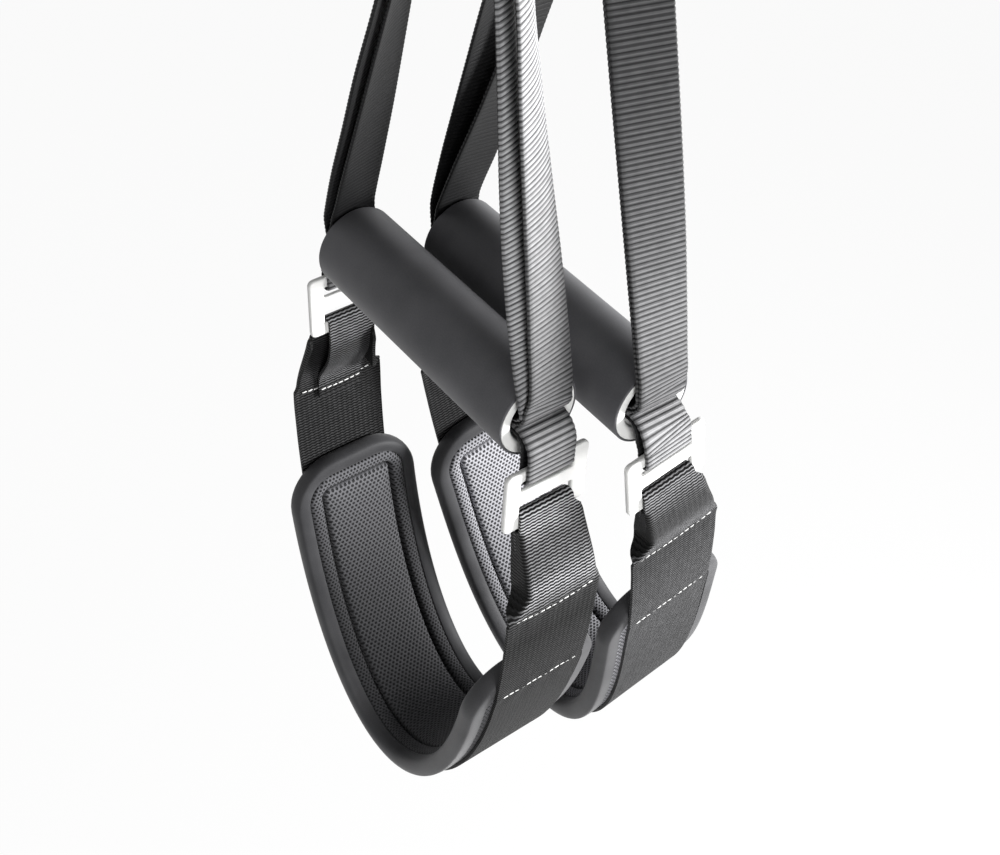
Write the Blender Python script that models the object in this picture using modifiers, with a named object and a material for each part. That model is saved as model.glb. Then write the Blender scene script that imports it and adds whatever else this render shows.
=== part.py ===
# Suspension trainer: two grips with foot cradles, hung from one steel hanger on a snap hook.
# Metres, +Z up. X runs along the grips, Y from the left set to the right one.
# The origin is where the anchor bears inside the top of the hook.

import math

import bmesh
import bpy
import numpy as np

# Gaps
TOUCH_GAP = 0.0003          # between two pieces that bear on each other
LAYER_GAP = 0.00035         # between two layers of webbing lying together

# Grip
GRIP_LENGTH = 0.137         # face to face of the end caps
FOAM_WALL = 0.0032
TUBE_WALL = 0.0015
SPIGOT_WALL = 0.0013
SPIGOT_LENGTH = 0.012
FLANGE_THICKNESS = 0.0012
FLANGE_RIM = 0.0003         # how far the flange stands proud of the foam
MOUTH_ROUNDING = 0.0025

# Webbing of the loops and links
WEBBING_WIDTH = 0.025
WEBBING_THICKNESS = 0.0016
WEBBING_BEND = 0.006        # centre line radius where a strap leaves the grip
STRAP_STANDOFF = 0.003      # from the cap's face to the inner strap's centre line
KNEE_HEIGHT = 0.016         # where the straps start to lean inwards
KNEE_RADIUS = 0.020
HANG_HEIGHT = 0.302         # from the grip's axis up to the bar's axis

# Buckles
PLATE_STANDOFF = 0.008      # from the cap's face to the middle of the plate
PLATE_DROP = 0.018          # from the grip's axis down to the plate's top
PLATE_THICKNESS = 0.0028
PLATE_CORNER = 0.003
PLATE_EDGE_ROUNDING = 0.0009
SLOT_CORNER = 0.0010
SLOT_SIDE_ROOM = 0.0015
SIDE_BAR = 0.00775
TOP_BAR = 0.006
UPPER_SLOT = 0.006
BRIDGE = 0.008
LOWER_SLOT = 0.007
BOTTOM_BAR = 0.007

# Foot cradle
CRADLE_WEBBING_WIDTH = 0.050
CRADLE_HALF_WIDTH = 0.0905  # to the outside of the webbing
WIDEST_DEPTH = 0.098        # below the grip's axis
CRADLE_DEPTH = 0.295
SEWN_END_DEPTH = 0.104
FOLD_STARTS = 0.002         # below the buckle plate
FOLD_FULL = 0.012
FOLD_OPENS = 0.012         # the fold line starts to run out to the edge
FOLD_FLAT = 0.046
CHANNEL_SIDE_ROOM = 0.001   # between the folded webbing and the slot's end
PAD_TOP_DEPTH = 0.143
PAD_THICKNESS = 0.0100
PAD_CORNER = 0.028
CORNER_TIGHTENING = 1.4     # how fast the corners tighten towards the middle of the pad
RIDGE_CROWN = 0.0012
BINDING_FLAP = 0.0086
BINDING_WALL = 0.0012
BINDING_TO_CORE = 0.0002
BINDING_TO_WEBBING = 0.0045
RIDGE_WIDTH = 0.0075
GROOVE_WIDTH = 0.0015
GROOVE_DEPTH = 0.0040
LINER_CROWN = 0.0018

# How the two sets hang
SET_STAGGER = 0.010         # each set's centre from the hook's plane, along the grips
GRIPS_APART = 0.004         # between the two foam sleeves
CRADLES_PASS = 0.0073       # how far the pads' top edges pass each other, one further along than the other
LEFT_SWING = math.radians(-0.75)
FRONT_LEANS_IN = 0.018      # the right cradle's front side, towards its back
FRONT_LEANS_ASIDE = 0.009   # and away from the left cradle
BACK_LEANS_ASIDE = 0.0035   # the same at its back, which lets the two sets swing past each other
LEAN_FULL = 0.053           # below the buckle plate
LEAN_EASES = 0.022          # below the top of the pad

# Hanger and hook
HANGER_WIRE = 0.008
HANGER_HEIGHT = 0.0603      # from the wire in the hook down to the bar
HANGER_CORNER = 0.007
HANGER_SIDE_ROOM = 0.0015   # between a loop and the rounded corner
HOOK_WIRE = 0.009
HOOK_INNER_WIDTH = 0.030
HOOK_INNER_LENGTH = 0.078
HOOK_NOSE_DROP = 0.020
GATE_DIAMETER = 0.0084
KNUCKLE_WIDTH = 0.0074
TONGUE_THICKNESS = 0.0030
NOSE_TONGUE_LENGTH = 0.005
PIN_DIAMETER = 0.003
PIN_PROUD = 0.0004
SPRING_DIAMETER = 0.0044
SPRING_WIRE = 0.0007
SPRING_LENGTH = 0.014
SPRING_TURNS = 6

# Sizes that follow from the ones above
layer_pitch = WEBBING_THICKNESS + LAYER_GAP
stack_half = 2 * WEBBING_THICKNESS + 1.5 * LAYER_GAP
bore_radius = math.hypot(WEBBING_WIDTH / 2, stack_half) + LAYER_GAP
spigot_radius = bore_radius + SPIGOT_WALL
tube_inner = spigot_radius + TOUCH_GAP
tube_outer = tube_inner + TUBE_WALL
foam_inner = tube_outer + TOUCH_GAP
foam_radius = foam_inner + FOAM_WALL
flange_radius = foam_radius + FLANGE_RIM
half_grip = GRIP_LENGTH / 2
half_sleeve = half_grip - FLANGE_THICKNESS - TOUCH_GAP

plate_x = half_grip + PLATE_STANDOFF
wrap_radius = PLATE_THICKNESS / 2 + TOUCH_GAP + WEBBING_THICKNESS / 2
slot_width = WEBBING_WIDTH + 2 * SLOT_SIDE_ROOM
plate_width = slot_width + 2 * SIDE_BAR
upper_slot_top = PLATE_DROP + TOP_BAR
upper_slot_bottom = upper_slot_top + UPPER_SLOT
lower_slot_top = upper_slot_bottom + BRIDGE
lower_slot_bottom = lower_slot_top + LOWER_SLOT
plate_bottom = lower_slot_bottom + BOTTOM_BAR

channel_half = slot_width / 2 - CHANNEL_SIDE_ROOM
flap_full = CRADLE_WEBBING_WIDTH / 2 - channel_half
flap_least = 0.0006
sewn_half = channel_half - WEBBING_THICKNESS / 2 - LAYER_GAP
cradle_line_half = CRADLE_HALF_WIDTH - WEBBING_THICKNESS / 2
cradle_line_depth = CRADLE_DEPTH - WEBBING_THICKNESS / 2
wrap_depth = lower_slot_bottom + 0.0008
pad_half_width = CRADLE_WEBBING_WIDTH / 2 + BINDING_TO_WEBBING + BINDING_FLAP
pad_offset = WEBBING_THICKNESS / 2 + TOUCH_GAP

sets_apart = 2 * foam_radius + GRIPS_APART
pad_overlap = 2 * pad_half_width - sets_apart - CRADLES_PASS
right_swing = math.asin(pad_overlap / PAD_TOP_DEPTH - math.sin(LEFT_SWING))

hook_line = (HOOK_INNER_WIDTH + HOOK_WIRE) / 2
hook_top_centre = -HOOK_INNER_WIDTH / 2
hook_low_centre = -HOOK_INNER_LENGTH + HOOK_INNER_WIDTH / 2
hook_low_wire = -HOOK_INNER_LENGTH - HOOK_WIRE / 2
hanger_bend = (HOOK_WIRE + HANGER_WIRE) / 2 + TOUCH_GAP
bar_height = hook_low_wire + hanger_bend - HANGER_HEIGHT
bar_flat_half = sets_apart / 2 + WEBBING_WIDTH / 2 + HANGER_SIDE_ROOM
grip_height = bar_height - HANG_HEIGHT
loop_turn = HANGER_WIRE / 2 + TOUCH_GAP + WEBBING_THICKNESS / 2

gate_radius = GATE_DIAMETER / 2
pin_height = hook_low_centre + gate_radius + 0.0013
tongue_radius = gate_radius - 0.0010
pin_hole = PIN_DIAMETER / 2 + TOUCH_GAP
gate_reach = -HOOK_NOSE_DROP - TOUCH_GAP - pin_height
gate_top = pin_height + math.sqrt(gate_reach**2 - gate_radius**2)
spring_bore = SPRING_DIAMETER / 2 + 0.0004

# Scene and collections
for leftover in list(bpy.data.objects):
    bpy.data.objects.remove(leftover, do_unlink=True)

model = bpy.data.collections.new("suspension_trainer")
helpers = bpy.data.collections.new("cutters")
bpy.context.scene.collection.children.link(model)
bpy.context.scene.collection.children.link(helpers)
helpers.hide_render = True


def empty(name, location, parent=None, turn_x=0.0):
    """An empty that carries the pieces which move together."""
    holder = bpy.data.objects.new(name, None)
    holder.empty_display_size = 0.02
    holder.location = location
    holder.rotation_euler = (turn_x, 0, 0)
    holder.parent = parent
    model.objects.link(holder)
    return holder


def helper(obj):
    """Moves an object to the collection of cutters and shows it as wire."""
    for home in list(obj.users_collection):
        home.objects.unlink(obj)
    helpers.objects.link(obj)
    obj.hide_render = True
    obj.display_type = "WIRE"
    return obj


def finished(obj, parent, look):
    """Gives a piece its own material, its parent and smooth shading."""
    colour, metallic, roughness = look
    material = bpy.data.materials.new(obj.name + "_material")
    material.use_nodes = True
    shader = material.node_tree.nodes["Principled BSDF"]
    shader.inputs["Base Color"].default_value = (*colour, 1)
    shader.inputs["Metallic"].default_value = metallic
    shader.inputs["Roughness"].default_value = roughness
    obj.data.materials.append(material)
    obj.parent = parent
    if obj.type == "MESH":
        obj.data.polygons.foreach_set("use_smooth", [True] * len(obj.data.polygons))
        obj.data.set_sharp_from_angle(angle=math.radians(40))
    return obj


def mesh_object(name, points, faces):
    """A mesh object with its faces turned outwards."""
    mesh = bpy.data.meshes.new(name)
    mesh.from_pydata([tuple(point) for point in points], [], faces)
    shape = bmesh.new()
    shape.from_mesh(mesh)
    bmesh.ops.recalc_face_normals(shape, faces=shape.faces)
    shape.to_mesh(mesh)
    shape.free()
    obj = bpy.data.objects.new(name, mesh)
    model.objects.link(obj)
    return obj


def loft(name, rings, joined):
    """Skins a row of closed rings. It joins the last to the first, or closes both ends."""
    rings = np.asarray(rings)
    count, size = rings.shape[:2]
    faces = []
    for ring in range(count if joined else count - 1):
        here = ring * size
        there = (ring + 1) % count * size
        for side in range(size):
            after = (side + 1) % size
            faces.append((here + side, here + after, there + after, there + side))
    if not joined:
        faces.append(tuple(range(size)))
        faces.append(tuple((count - 1) * size + side for side in range(size)))
    return mesh_object(name, rings.reshape(-1, 3), faces)


def filleted(corners, closed=True):
    """Points of a path whose corners (x, z, radius, steps) are rounded."""
    points = []
    count = len(corners)
    for index, (x, z, radius, steps) in enumerate(corners):
        corner = np.array([x, z])
        if not closed and index in (0, count - 1):
            points.append(corner)
            continue
        before = np.array(corners[index - 1][:2]) - corner
        after = np.array(corners[(index + 1) % count][:2]) - corner
        before /= np.linalg.norm(before)
        after /= np.linalg.norm(after)
        between = math.acos(float(np.clip(before @ after, -1, 1)))
        middle = (before + after) / np.linalg.norm(before + after)
        centre = corner + middle * radius / math.sin(between / 2)
        start = corner + before * radius / math.tan(between / 2) - centre
        sweep = math.pi - between
        if start[0] * before[1] - start[1] * before[0] > 0:
            sweep = -sweep
        for step in range(steps + 1):
            turn = sweep * step / steps
            cosine, sine = math.cos(turn), math.sin(turn)
            turned = (start[0] * cosine - start[1] * sine, start[0] * sine + start[1] * cosine)
            points.append(centre + turned)
    return np.array(points)


def path_normals(path, closed):
    """Unit normals of a path in the XZ plane, to the right of its travel."""
    if closed:
        along = np.roll(path, -1, axis=0) - path
        along /= np.linalg.norm(along, axis=1)[:, None]
        along = along + np.roll(along, 1, axis=0)
    else:
        along = np.diff(path, axis=0)
        along /= np.linalg.norm(along, axis=1)[:, None]
        along = np.vstack([along[:1], along[1:] + along[:-1], along[-1:]])
    # A mitred corner is longer than a straight section, by the cosine of half its turn.
    size = np.linalg.norm(along, axis=1)[:, None]
    stretch = np.where(size > 1.2, 2 / np.maximum(size, 1e-9), 1.0)
    along /= size
    return np.column_stack([along[:, 1], -along[:, 0]]) * stretch


def tangent_corner(first, second, centre, radius):
    """Where the two outer tangents meet that run from two points round one circle."""
    centre = np.array(centre)
    lines = []
    for point, side in ((np.array(first), 1), (np.array(second), -1)):
        to_centre = centre - point
        distance = np.linalg.norm(to_centre)
        turn = side * math.asin(radius / distance)
        cosine, sine = math.cos(turn), math.sin(turn)
        x, z = to_centre / distance
        lines.append((point, np.array([x * cosine + z * sine, z * cosine - x * sine])))
    (first, along), (second, across) = lines
    reach = np.linalg.solve(np.column_stack([along, -across]), second - first)
    return first + along * reach[0]


def outset(corners, distance):
    """The same path one layer further out."""
    points = np.array([corner[:2] for corner in corners])
    edges = np.roll(points, -1, axis=0) - points
    edges /= np.linalg.norm(edges, axis=1)[:, None]
    area = np.sum(points[:, 0] * np.roll(points[:, 1], -1) - np.roll(points[:, 0], -1) * points[:, 1])
    outward = np.column_stack([edges[:, 1], -edges[:, 0]]) * np.sign(area)
    grown = []
    for index, (x, z, radius, steps) in enumerate(corners):
        sides = np.array([outward[index - 1], outward[index]])
        shift = np.linalg.solve(sides, np.array([distance, distance]))
        grown.append((x + shift[0], z + shift[1], radius + distance, steps))
    return grown


def band(name, path, closed, turns=None):
    """A strip of webbing along a path in the XZ plane, each section turned about the X axis."""
    normals = path_normals(path, closed)
    inner = path + normals * WEBBING_THICKNESS / 2
    outer = path - normals * WEBBING_THICKNESS / 2
    half = np.full(len(path), WEBBING_WIDTH / 2)
    rings = np.stack(
        [
            np.column_stack([inner[:, 0], -half, inner[:, 1]]),
            np.column_stack([inner[:, 0], half, inner[:, 1]]),
            np.column_stack([outer[:, 0], half, outer[:, 1]]),
            np.column_stack([outer[:, 0], -half, outer[:, 1]]),
        ],
        axis=1,
    )
    if turns is not None:
        cosine, sine = np.cos(turns)[:, None], np.sin(turns)[:, None]
        y, z = rings[:, :, 1].copy(), rings[:, :, 2].copy()
        rings[:, :, 1] = y * cosine - z * sine
        rings[:, :, 2] = y * sine + z * cosine
    return loft(name, rings, closed)


def revolved(name, profile, steps):
    """A closed profile of (radius, height) pairs turned about the local Z axis."""
    shape = bpy.data.meshes.new(name)
    count = len(profile)
    points = [(radius, 0, height) for radius, height in profile]
    shape.from_pydata(points, [(index, (index + 1) % count) for index in range(count)], [])
    obj = bpy.data.objects.new(name, shape)
    model.objects.link(obj)
    spin = obj.modifiers.new("turned", "SCREW")
    spin.axis = "Z"
    spin.steps = steps
    spin.render_steps = steps
    spin.use_merge_vertices = True
    spin.merge_threshold = 0.00001
    spin.use_smooth_shade = True
    return obj


def rounded(centre, radius, start, end, steps):
    """Points of an arc, as (radius, height) pairs, with angles in degrees."""
    angles = np.radians(np.linspace(start, end, steps + 1))
    return [(centre[0] + radius * math.cos(a), centre[1] + radius * math.sin(a)) for a in angles]


def rod(name, path, diameter, closed, sides=2):
    """A round rod along 3-D points, made as a curve."""
    curve = bpy.data.curves.new(name, "CURVE")
    curve.dimensions = "3D"
    curve.bevel_depth = diameter / 2
    curve.bevel_resolution = sides
    curve.use_fill_caps = not closed
    spline = curve.splines.new("POLY")
    spline.points.add(len(path) - 1)
    for point, place in zip(spline.points, path):
        point.co = (*place, 1)
    spline.use_cyclic_u = closed
    obj = bpy.data.objects.new(name, curve)
    model.objects.link(obj)
    return obj


def as_mesh(obj):
    """The same object as a mesh, with the caps joined to the sides."""
    graph = bpy.context.evaluated_depsgraph_get()
    mesh = bpy.data.meshes.new_from_object(obj.evaluated_get(graph))
    name = obj.name
    bpy.data.objects.remove(obj, do_unlink=True)
    shape = bmesh.new()
    shape.from_mesh(mesh)
    bmesh.ops.remove_doubles(shape, verts=shape.verts, dist=0.000002)
    bmesh.ops.recalc_face_normals(shape, faces=shape.faces)
    shape.to_mesh(mesh)
    shape.free()
    solid = bpy.data.objects.new(name, mesh)
    model.objects.link(solid)
    return solid


def cylinder(name, radius, length, place, along, sides=20):
    """A cylinder centred on a place, along the Y or the Z axis."""
    bpy.ops.mesh.primitive_cylinder_add(vertices=sides, radius=radius, depth=length, location=place)
    obj = bpy.context.object
    if along == "Y":
        obj.rotation_euler = (math.pi / 2, 0, 0)
    obj.name = name
    for home in list(obj.users_collection):
        home.objects.unlink(obj)
    model.objects.link(obj)
    return obj


def box(name, low, high):
    """A box from its lowest to its highest corner."""
    low, high = np.array(low), np.array(high)
    bpy.ops.mesh.primitive_cube_add(size=1, location=tuple((low + high) / 2))
    obj = bpy.context.object
    obj.scale = tuple(high - low)
    obj.name = name
    for home in list(obj.users_collection):
        home.objects.unlink(obj)
    model.objects.link(obj)
    return obj


def combine(target, other, operation):
    """Adds or cuts one solid with another, which becomes a hidden helper."""
    step = target.modifiers.new(other.name, "BOOLEAN")
    step.operation = operation
    step.solver = "EXACT"
    step.object = helper(other)


# Looks: base colour, metallic, roughness
black_webbing = ((0.035, 0.035, 0.038), 0.0, 0.75)
black_foam = ((0.045, 0.045, 0.047), 0.0, 0.85)
white_plastic = ((0.85, 0.85, 0.84), 0.0, 0.35)
grey_plastic = ((0.30, 0.30, 0.31), 0.0, 0.50)
black_neoprene = ((0.040, 0.040, 0.042), 0.0, 0.80)
grey_mesh = ((0.12, 0.12, 0.12), 0.0, 0.90)
polished_steel = ((0.62, 0.62, 0.63), 1.0, 0.25)
spring_steel = ((0.50, 0.50, 0.52), 1.0, 0.35)

# Centre line of the cradle's webbing, from the front buckle round the bottom to the back one
drop = np.linspace(0, 1, 81)
ease = 3 * drop**2 - 2 * drop**3
turn_down = np.linspace(0, math.pi / 2, 161)[1:]
line_x = np.concatenate(
    [
        plate_x + wrap_radius + (cradle_line_half - plate_x - wrap_radius) * ease,
        cradle_line_half * np.cos(turn_down),
    ]
)
line_z = np.concatenate(
    [
        -wrap_depth - (WIDEST_DEPTH - wrap_depth) * drop,
        -WIDEST_DEPTH - (cradle_line_depth - WIDEST_DEPTH) * np.sin(turn_down),
    ]
)
half_count = len(line_x)
cradle_line = np.column_stack(
    [np.concatenate([line_x, -line_x[-2::-1]]), np.concatenate([line_z, line_z[-2::-1]])]
)
line_steps = np.linalg.norm(np.diff(cradle_line, axis=0), axis=1)
line_length = np.concatenate([[0], np.cumsum(line_steps)])
line_normals = path_normals(cradle_line, False)
line_normals /= np.linalg.norm(line_normals, axis=1)[:, None]


def on_line(length):
    """Places on the cradle's centre line and the normals that point inwards."""
    place = np.column_stack([np.interp(length, line_length, cradle_line[:, k]) for k in (0, 1)])
    normal = np.column_stack([np.interp(length, line_length, line_normals[:, k]) for k in (0, 1)])
    return place, normal / np.linalg.norm(normal, axis=1)[:, None]


def length_at_depth(depth):
    """How far along the front half of the line a depth below the grip is."""
    return np.interp(depth, -line_z, line_length[:half_count])


# The pad's first corner, and the steps that its long sides share with the webbing outside it
pad_start = length_at_depth(PAD_TOP_DEPTH)
pad_length = line_length[-1] - 2 * pad_start
side_turns = np.radians([24, 32, 40, 48, 57, 66, 74, 82, 90])
side_lengths = length_at_depth(WIDEST_DEPTH + (cradle_line_depth - WIDEST_DEPTH) * np.sin(side_turns))


def smooth_step(value, start, end):
    """0 before start, 1 after end, and a smooth change between."""
    share = np.clip((value - start) / (end - start), 0, 1)
    return share * share * (3 - 2 * share)


def leaning(points, lean_in, front_aside, back_aside):
    """Moves a cradle's front side in and both sides aside, from below the buckle to where it curves under."""
    depth = -points[..., 2]
    share = smooth_step(depth, plate_bottom + 0.002, plate_bottom + LEAN_FULL)
    share = share * (1 - smooth_step(depth, PAD_TOP_DEPTH + LEAN_EASES, CRADLE_DEPTH))
    front = smooth_step(points[..., 0], -0.030, 0.040)
    moved = points.copy()
    moved[..., 0] -= lean_in * share * front
    moved[..., 1] += share * (back_aside + (front_aside - back_aside) * front)
    return moved


def make_cradle_webbing(name, lean):
    """One strip: sewn end, turn over the buckle's bar, folded channel, open U, and the same back."""
    fold_depths = [
        wrap_depth + 0.001,
        plate_bottom + FOLD_STARTS,
        plate_bottom + (FOLD_STARTS + FOLD_FULL) / 2,
        plate_bottom + FOLD_FULL,
        plate_bottom + FOLD_OPENS,
        plate_bottom + (2 * FOLD_OPENS + FOLD_FLAT) / 3,
        plate_bottom + (FOLD_OPENS + 2 * FOLD_FLAT) / 3,
        plate_bottom + FOLD_FLAT - 0.004,
        plate_bottom + FOLD_FLAT,
        plate_bottom + FOLD_FLAT + 0.006,
        plate_bottom + FOLD_FLAT + 0.022,
    ]
    run = [length_at_depth(depth) for depth in fold_depths]
    run = np.array([*run, *np.linspace(pad_start, side_lengths[0], 4)[:-1], *side_lengths])
    place, normal = on_line(run)
    depth = -place[:, 1]
    flap = flap_least + (flap_full - flap_least) * smooth_step(
        depth, plate_bottom + FOLD_STARTS, plate_bottom + FOLD_FULL
    )
    fold = math.pi / 2 * (1 - smooth_step(depth, plate_bottom + FOLD_FLAT - 0.008, plate_bottom + FOLD_FLAT))
    fold[depth < plate_bottom + FOLD_STARTS / 2] = 0
    run_out = smooth_step(depth, plate_bottom + FOLD_OPENS, plate_bottom + FOLD_FLAT)
    middle = channel_half + (flap - flap_least) * run_out
    flap = flap + channel_half - middle

    # The sewn end lies inside the outer run and closes up to it below the buckle.
    sewn_from = length_at_depth(SEWN_END_DEPTH)
    sewn_depths = [depth for depth in fold_depths if plate_bottom < depth < SEWN_END_DEPTH]
    sewn_length = [length_at_depth(depth) for depth in reversed(sewn_depths)]
    sewn_length = np.array([sewn_from, *sewn_length, length_at_depth(wrap_depth + 0.001)])
    sewn_place, sewn_normal = on_line(sewn_length)
    nearness = smooth_step(-sewn_place[:, 1], plate_bottom + 0.001, SEWN_END_DEPTH - 0.010)
    straight = sewn_place[:, 0] - plate_x + wrap_radius
    apart = straight + (layer_pitch - straight) * nearness
    sewn_place = sewn_place + sewn_normal * apart[:, None]
    sewn_middle = np.full(len(sewn_length), sewn_half - flap_least)

    # Over the bottom bar of the buckle
    around = np.linspace(math.pi, 0, 6)
    wrap_place = np.column_stack(
        [plate_x + wrap_radius * np.cos(around), -wrap_depth + wrap_radius * np.sin(around)]
    )
    wrap_normal = -np.column_stack([np.cos(around), np.sin(around)])
    wrap_middle = np.linspace(sewn_half - flap_least, channel_half, 6)

    flat = np.zeros(len(sewn_length) + 6)
    place = np.vstack([sewn_place, wrap_place, place])
    normal = np.vstack([-sewn_normal, wrap_normal, normal])
    flap = np.concatenate([flat + flap_least, flap])
    fold = np.concatenate([flat, fold])
    middle = np.concatenate([sewn_middle, wrap_middle, middle])

    # Half of the section: the middle, a rounded fold of three short pieces, then the flap.
    lengths = np.stack([middle - 0.001, np.full(len(middle), 0.001), flap / 12, flap * 11 / 12], axis=1)
    angles = np.stack([fold * 0, fold / 3, fold * 2 / 3, fold], axis=1)
    across = np.cumsum(lengths * np.cos(angles), axis=1)
    deep = np.cumsum(lengths * np.sin(angles), axis=1)
    zero = np.zeros((len(middle), 1))
    across = np.hstack([-across[:, ::-1], zero, across])
    deep = np.hstack([deep[:, ::-1], zero, deep])
    slope = np.hstack([-angles[:, ::-1], angles])
    ends = np.hstack([slope[:, :1], (slope[:, 1:] + slope[:, :-1]) / 2, slope[:, -1:]])
    half_turn = np.hstack([zero, (slope[:, 1:] - slope[:, :-1]) / 2, zero])
    reach = WEBBING_THICKNESS / 2 / np.cos(half_turn)
    ring_y = np.hstack([across + reach * np.sin(ends), (across - reach * np.sin(ends))[:, ::-1]])
    ring_d = np.hstack([deep - reach * np.cos(ends), (deep + reach * np.cos(ends))[:, ::-1]])
    ring_x = place[:, :1] + normal[:, :1] * ring_d
    ring_z = place[:, 1:] + normal[:, 1:] * ring_d
    rings = np.stack([ring_x, ring_y, ring_z], axis=2)
    mirrored = rings[-2::-1].copy()
    mirrored[:, :, 0] *= -1
    return loft(name, leaning(np.vstack([rings, mirrored]), *lean), False)


# The pad is laid out flat, as distance along the cradle, distance across it and depth from
# its outer face. Its pieces are rings at set distances in from the pad's edge.
def pad_ring(edge, depth):
    """One ring of the pad, a distance in from the edge and a depth in from the outer face."""
    half_width = pad_half_width - edge
    corner = max(PAD_CORNER - CORNER_TIGHTENING * edge, 0.0012)
    angles = np.radians([90, 70, 50, 33, 16, 0])
    corner_s = edge + corner - corner * np.sin(angles)
    corner_y = half_width - corner + corner * np.cos(angles)
    side_s = side_lengths - pad_start
    side_s = np.maximum(side_s, corner_s[-1] + (side_s - side_s[0] + 0.004) * 0.5)
    half_s = np.concatenate([corner_s, side_s])
    half_y = np.concatenate([corner_y, np.full(len(side_s), half_width)])
    along = np.concatenate([half_s, pad_length - half_s[-2::-1]])
    across = np.concatenate([half_y, half_y[-2::-1]])
    along = np.concatenate([along, along[::-1]])
    across = np.concatenate([across, -across[::-1]])
    place, normal = on_line(pad_start + along)
    place = place + normal * (pad_offset + depth)
    return np.column_stack([place[:, 0], across, place[:, 1]])


def make_pad_piece(name, profile, joined, lean):
    """Skins pad rings, given as (edge, depth) pairs. A piece that isn't a rim is closed by rungs."""
    rings = leaning(np.array([pad_ring(edge, depth) for edge, depth in profile]), *lean)
    if joined:
        return loft(name, rings, True)
    count, size = rings.shape[:2]
    faces = []
    for ring in range(count - 1):
        for side in range(size):
            after = (side + 1) % size
            here, there = ring * size, (ring + 1) * size
            faces.append((here + side, here + after, there + after, there + side))
    for base in (0, (count - 1) * size):
        for rung in range(size // 2 - 1):
            faces.append((base + rung, base + rung + 1, base + size - 2 - rung, base + size - 1 - rung))
    return mesh_object(name, rings.reshape(-1, 3), faces)


core_edge = BINDING_WALL + TOUCH_GAP
flap_end = BINDING_FLAP + BINDING_TO_CORE
ridge_inside = flap_end + RIDGE_WIDTH
liner_edge = ridge_inside + GROOVE_WIDTH
groove_floor = PAD_THICKNESS - GROOVE_DEPTH

core_profile = [
    (ridge_inside, 0.0),
    (flap_end, 0.0),
    (flap_end, core_edge),
    (core_edge + 0.0020, core_edge),
    (core_edge, core_edge + 0.0020),
    (core_edge, PAD_THICKNESS - core_edge - 0.0020),
    (core_edge + 0.0020, PAD_THICKNESS - core_edge),
    (flap_end, PAD_THICKNESS - core_edge),
    (flap_end, PAD_THICKNESS - 0.0004),
    ((flap_end + ridge_inside) / 2, PAD_THICKNESS + RIDGE_CROWN),
    (ridge_inside - 0.0004, PAD_THICKNESS),
    (ridge_inside, groove_floor),
]
binding_profile = [
    (BINDING_FLAP, 0.0),
    (0.0030, 0.0),
    (0.0009, 0.0010),
    (0.0, PAD_THICKNESS / 2),
    (0.0009, PAD_THICKNESS - 0.0010),
    (0.0030, PAD_THICKNESS + 0.0004),
    (BINDING_FLAP, PAD_THICKNESS),
    (BINDING_FLAP, PAD_THICKNESS - BINDING_WALL),
    (0.0030, PAD_THICKNESS - BINDING_WALL),
    (BINDING_WALL, PAD_THICKNESS - 0.0030),
    (BINDING_WALL, 0.0030),
    (0.0030, BINDING_WALL),
    (BINDING_FLAP, BINDING_WALL),
]
liner_profile = [
    (liner_edge + 0.0010, groove_floor + TOUCH_GAP),
    (liner_edge, groove_floor + 0.0012),
    (liner_edge + 0.0004, PAD_THICKNESS - 0.0006),
    (liner_edge + 0.0035, PAD_THICKNESS + LINER_CROWN * 0.65),
    (liner_edge + 0.0085, PAD_THICKNESS + LINER_CROWN),
]


def make_buckle(name, parent, x):
    """A flat plate with two slots, drawn as outlines in its own plane and given rounded edges."""
    curve = bpy.data.curves.new(name, "CURVE")
    curve.dimensions = "2D"
    curve.fill_mode = "BOTH"
    curve.extrude = PLATE_THICKNESS / 2 - PLATE_EDGE_ROUNDING
    curve.bevel_depth = PLATE_EDGE_ROUNDING
    curve.bevel_resolution = 1
    curve.offset = -PLATE_EDGE_ROUNDING
    outlines = [
        (plate_width / 2, PLATE_DROP, plate_bottom, PLATE_CORNER),
        (slot_width / 2, upper_slot_top, upper_slot_bottom, SLOT_CORNER),
        (slot_width / 2, lower_slot_top, lower_slot_bottom, SLOT_CORNER),
    ]
    for order, (half, top, bottom, corner) in enumerate(outlines):
        outline = filleted(
            [
                (half, -top, corner, 3),
                (-half, -top, corner, 3),
                (-half, -bottom, corner, 3),
                (half, -bottom, corner, 3),
            ]
        )
        if order:
            outline = outline[::-1]
        spline = curve.splines.new("POLY")
        spline.points.add(len(outline) - 1)
        for point, (across, up) in zip(spline.points, outline):
            point.co = (across, up, 0, 1)
        spline.use_cyclic_u = True
    obj = bpy.data.objects.new(name, curve)
    model.objects.link(obj)
    obj.location = (x, 0, 0)
    obj.rotation_euler = (math.pi / 2, 0, math.pi / 2)
    return finished(obj, parent, white_plastic)


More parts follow.
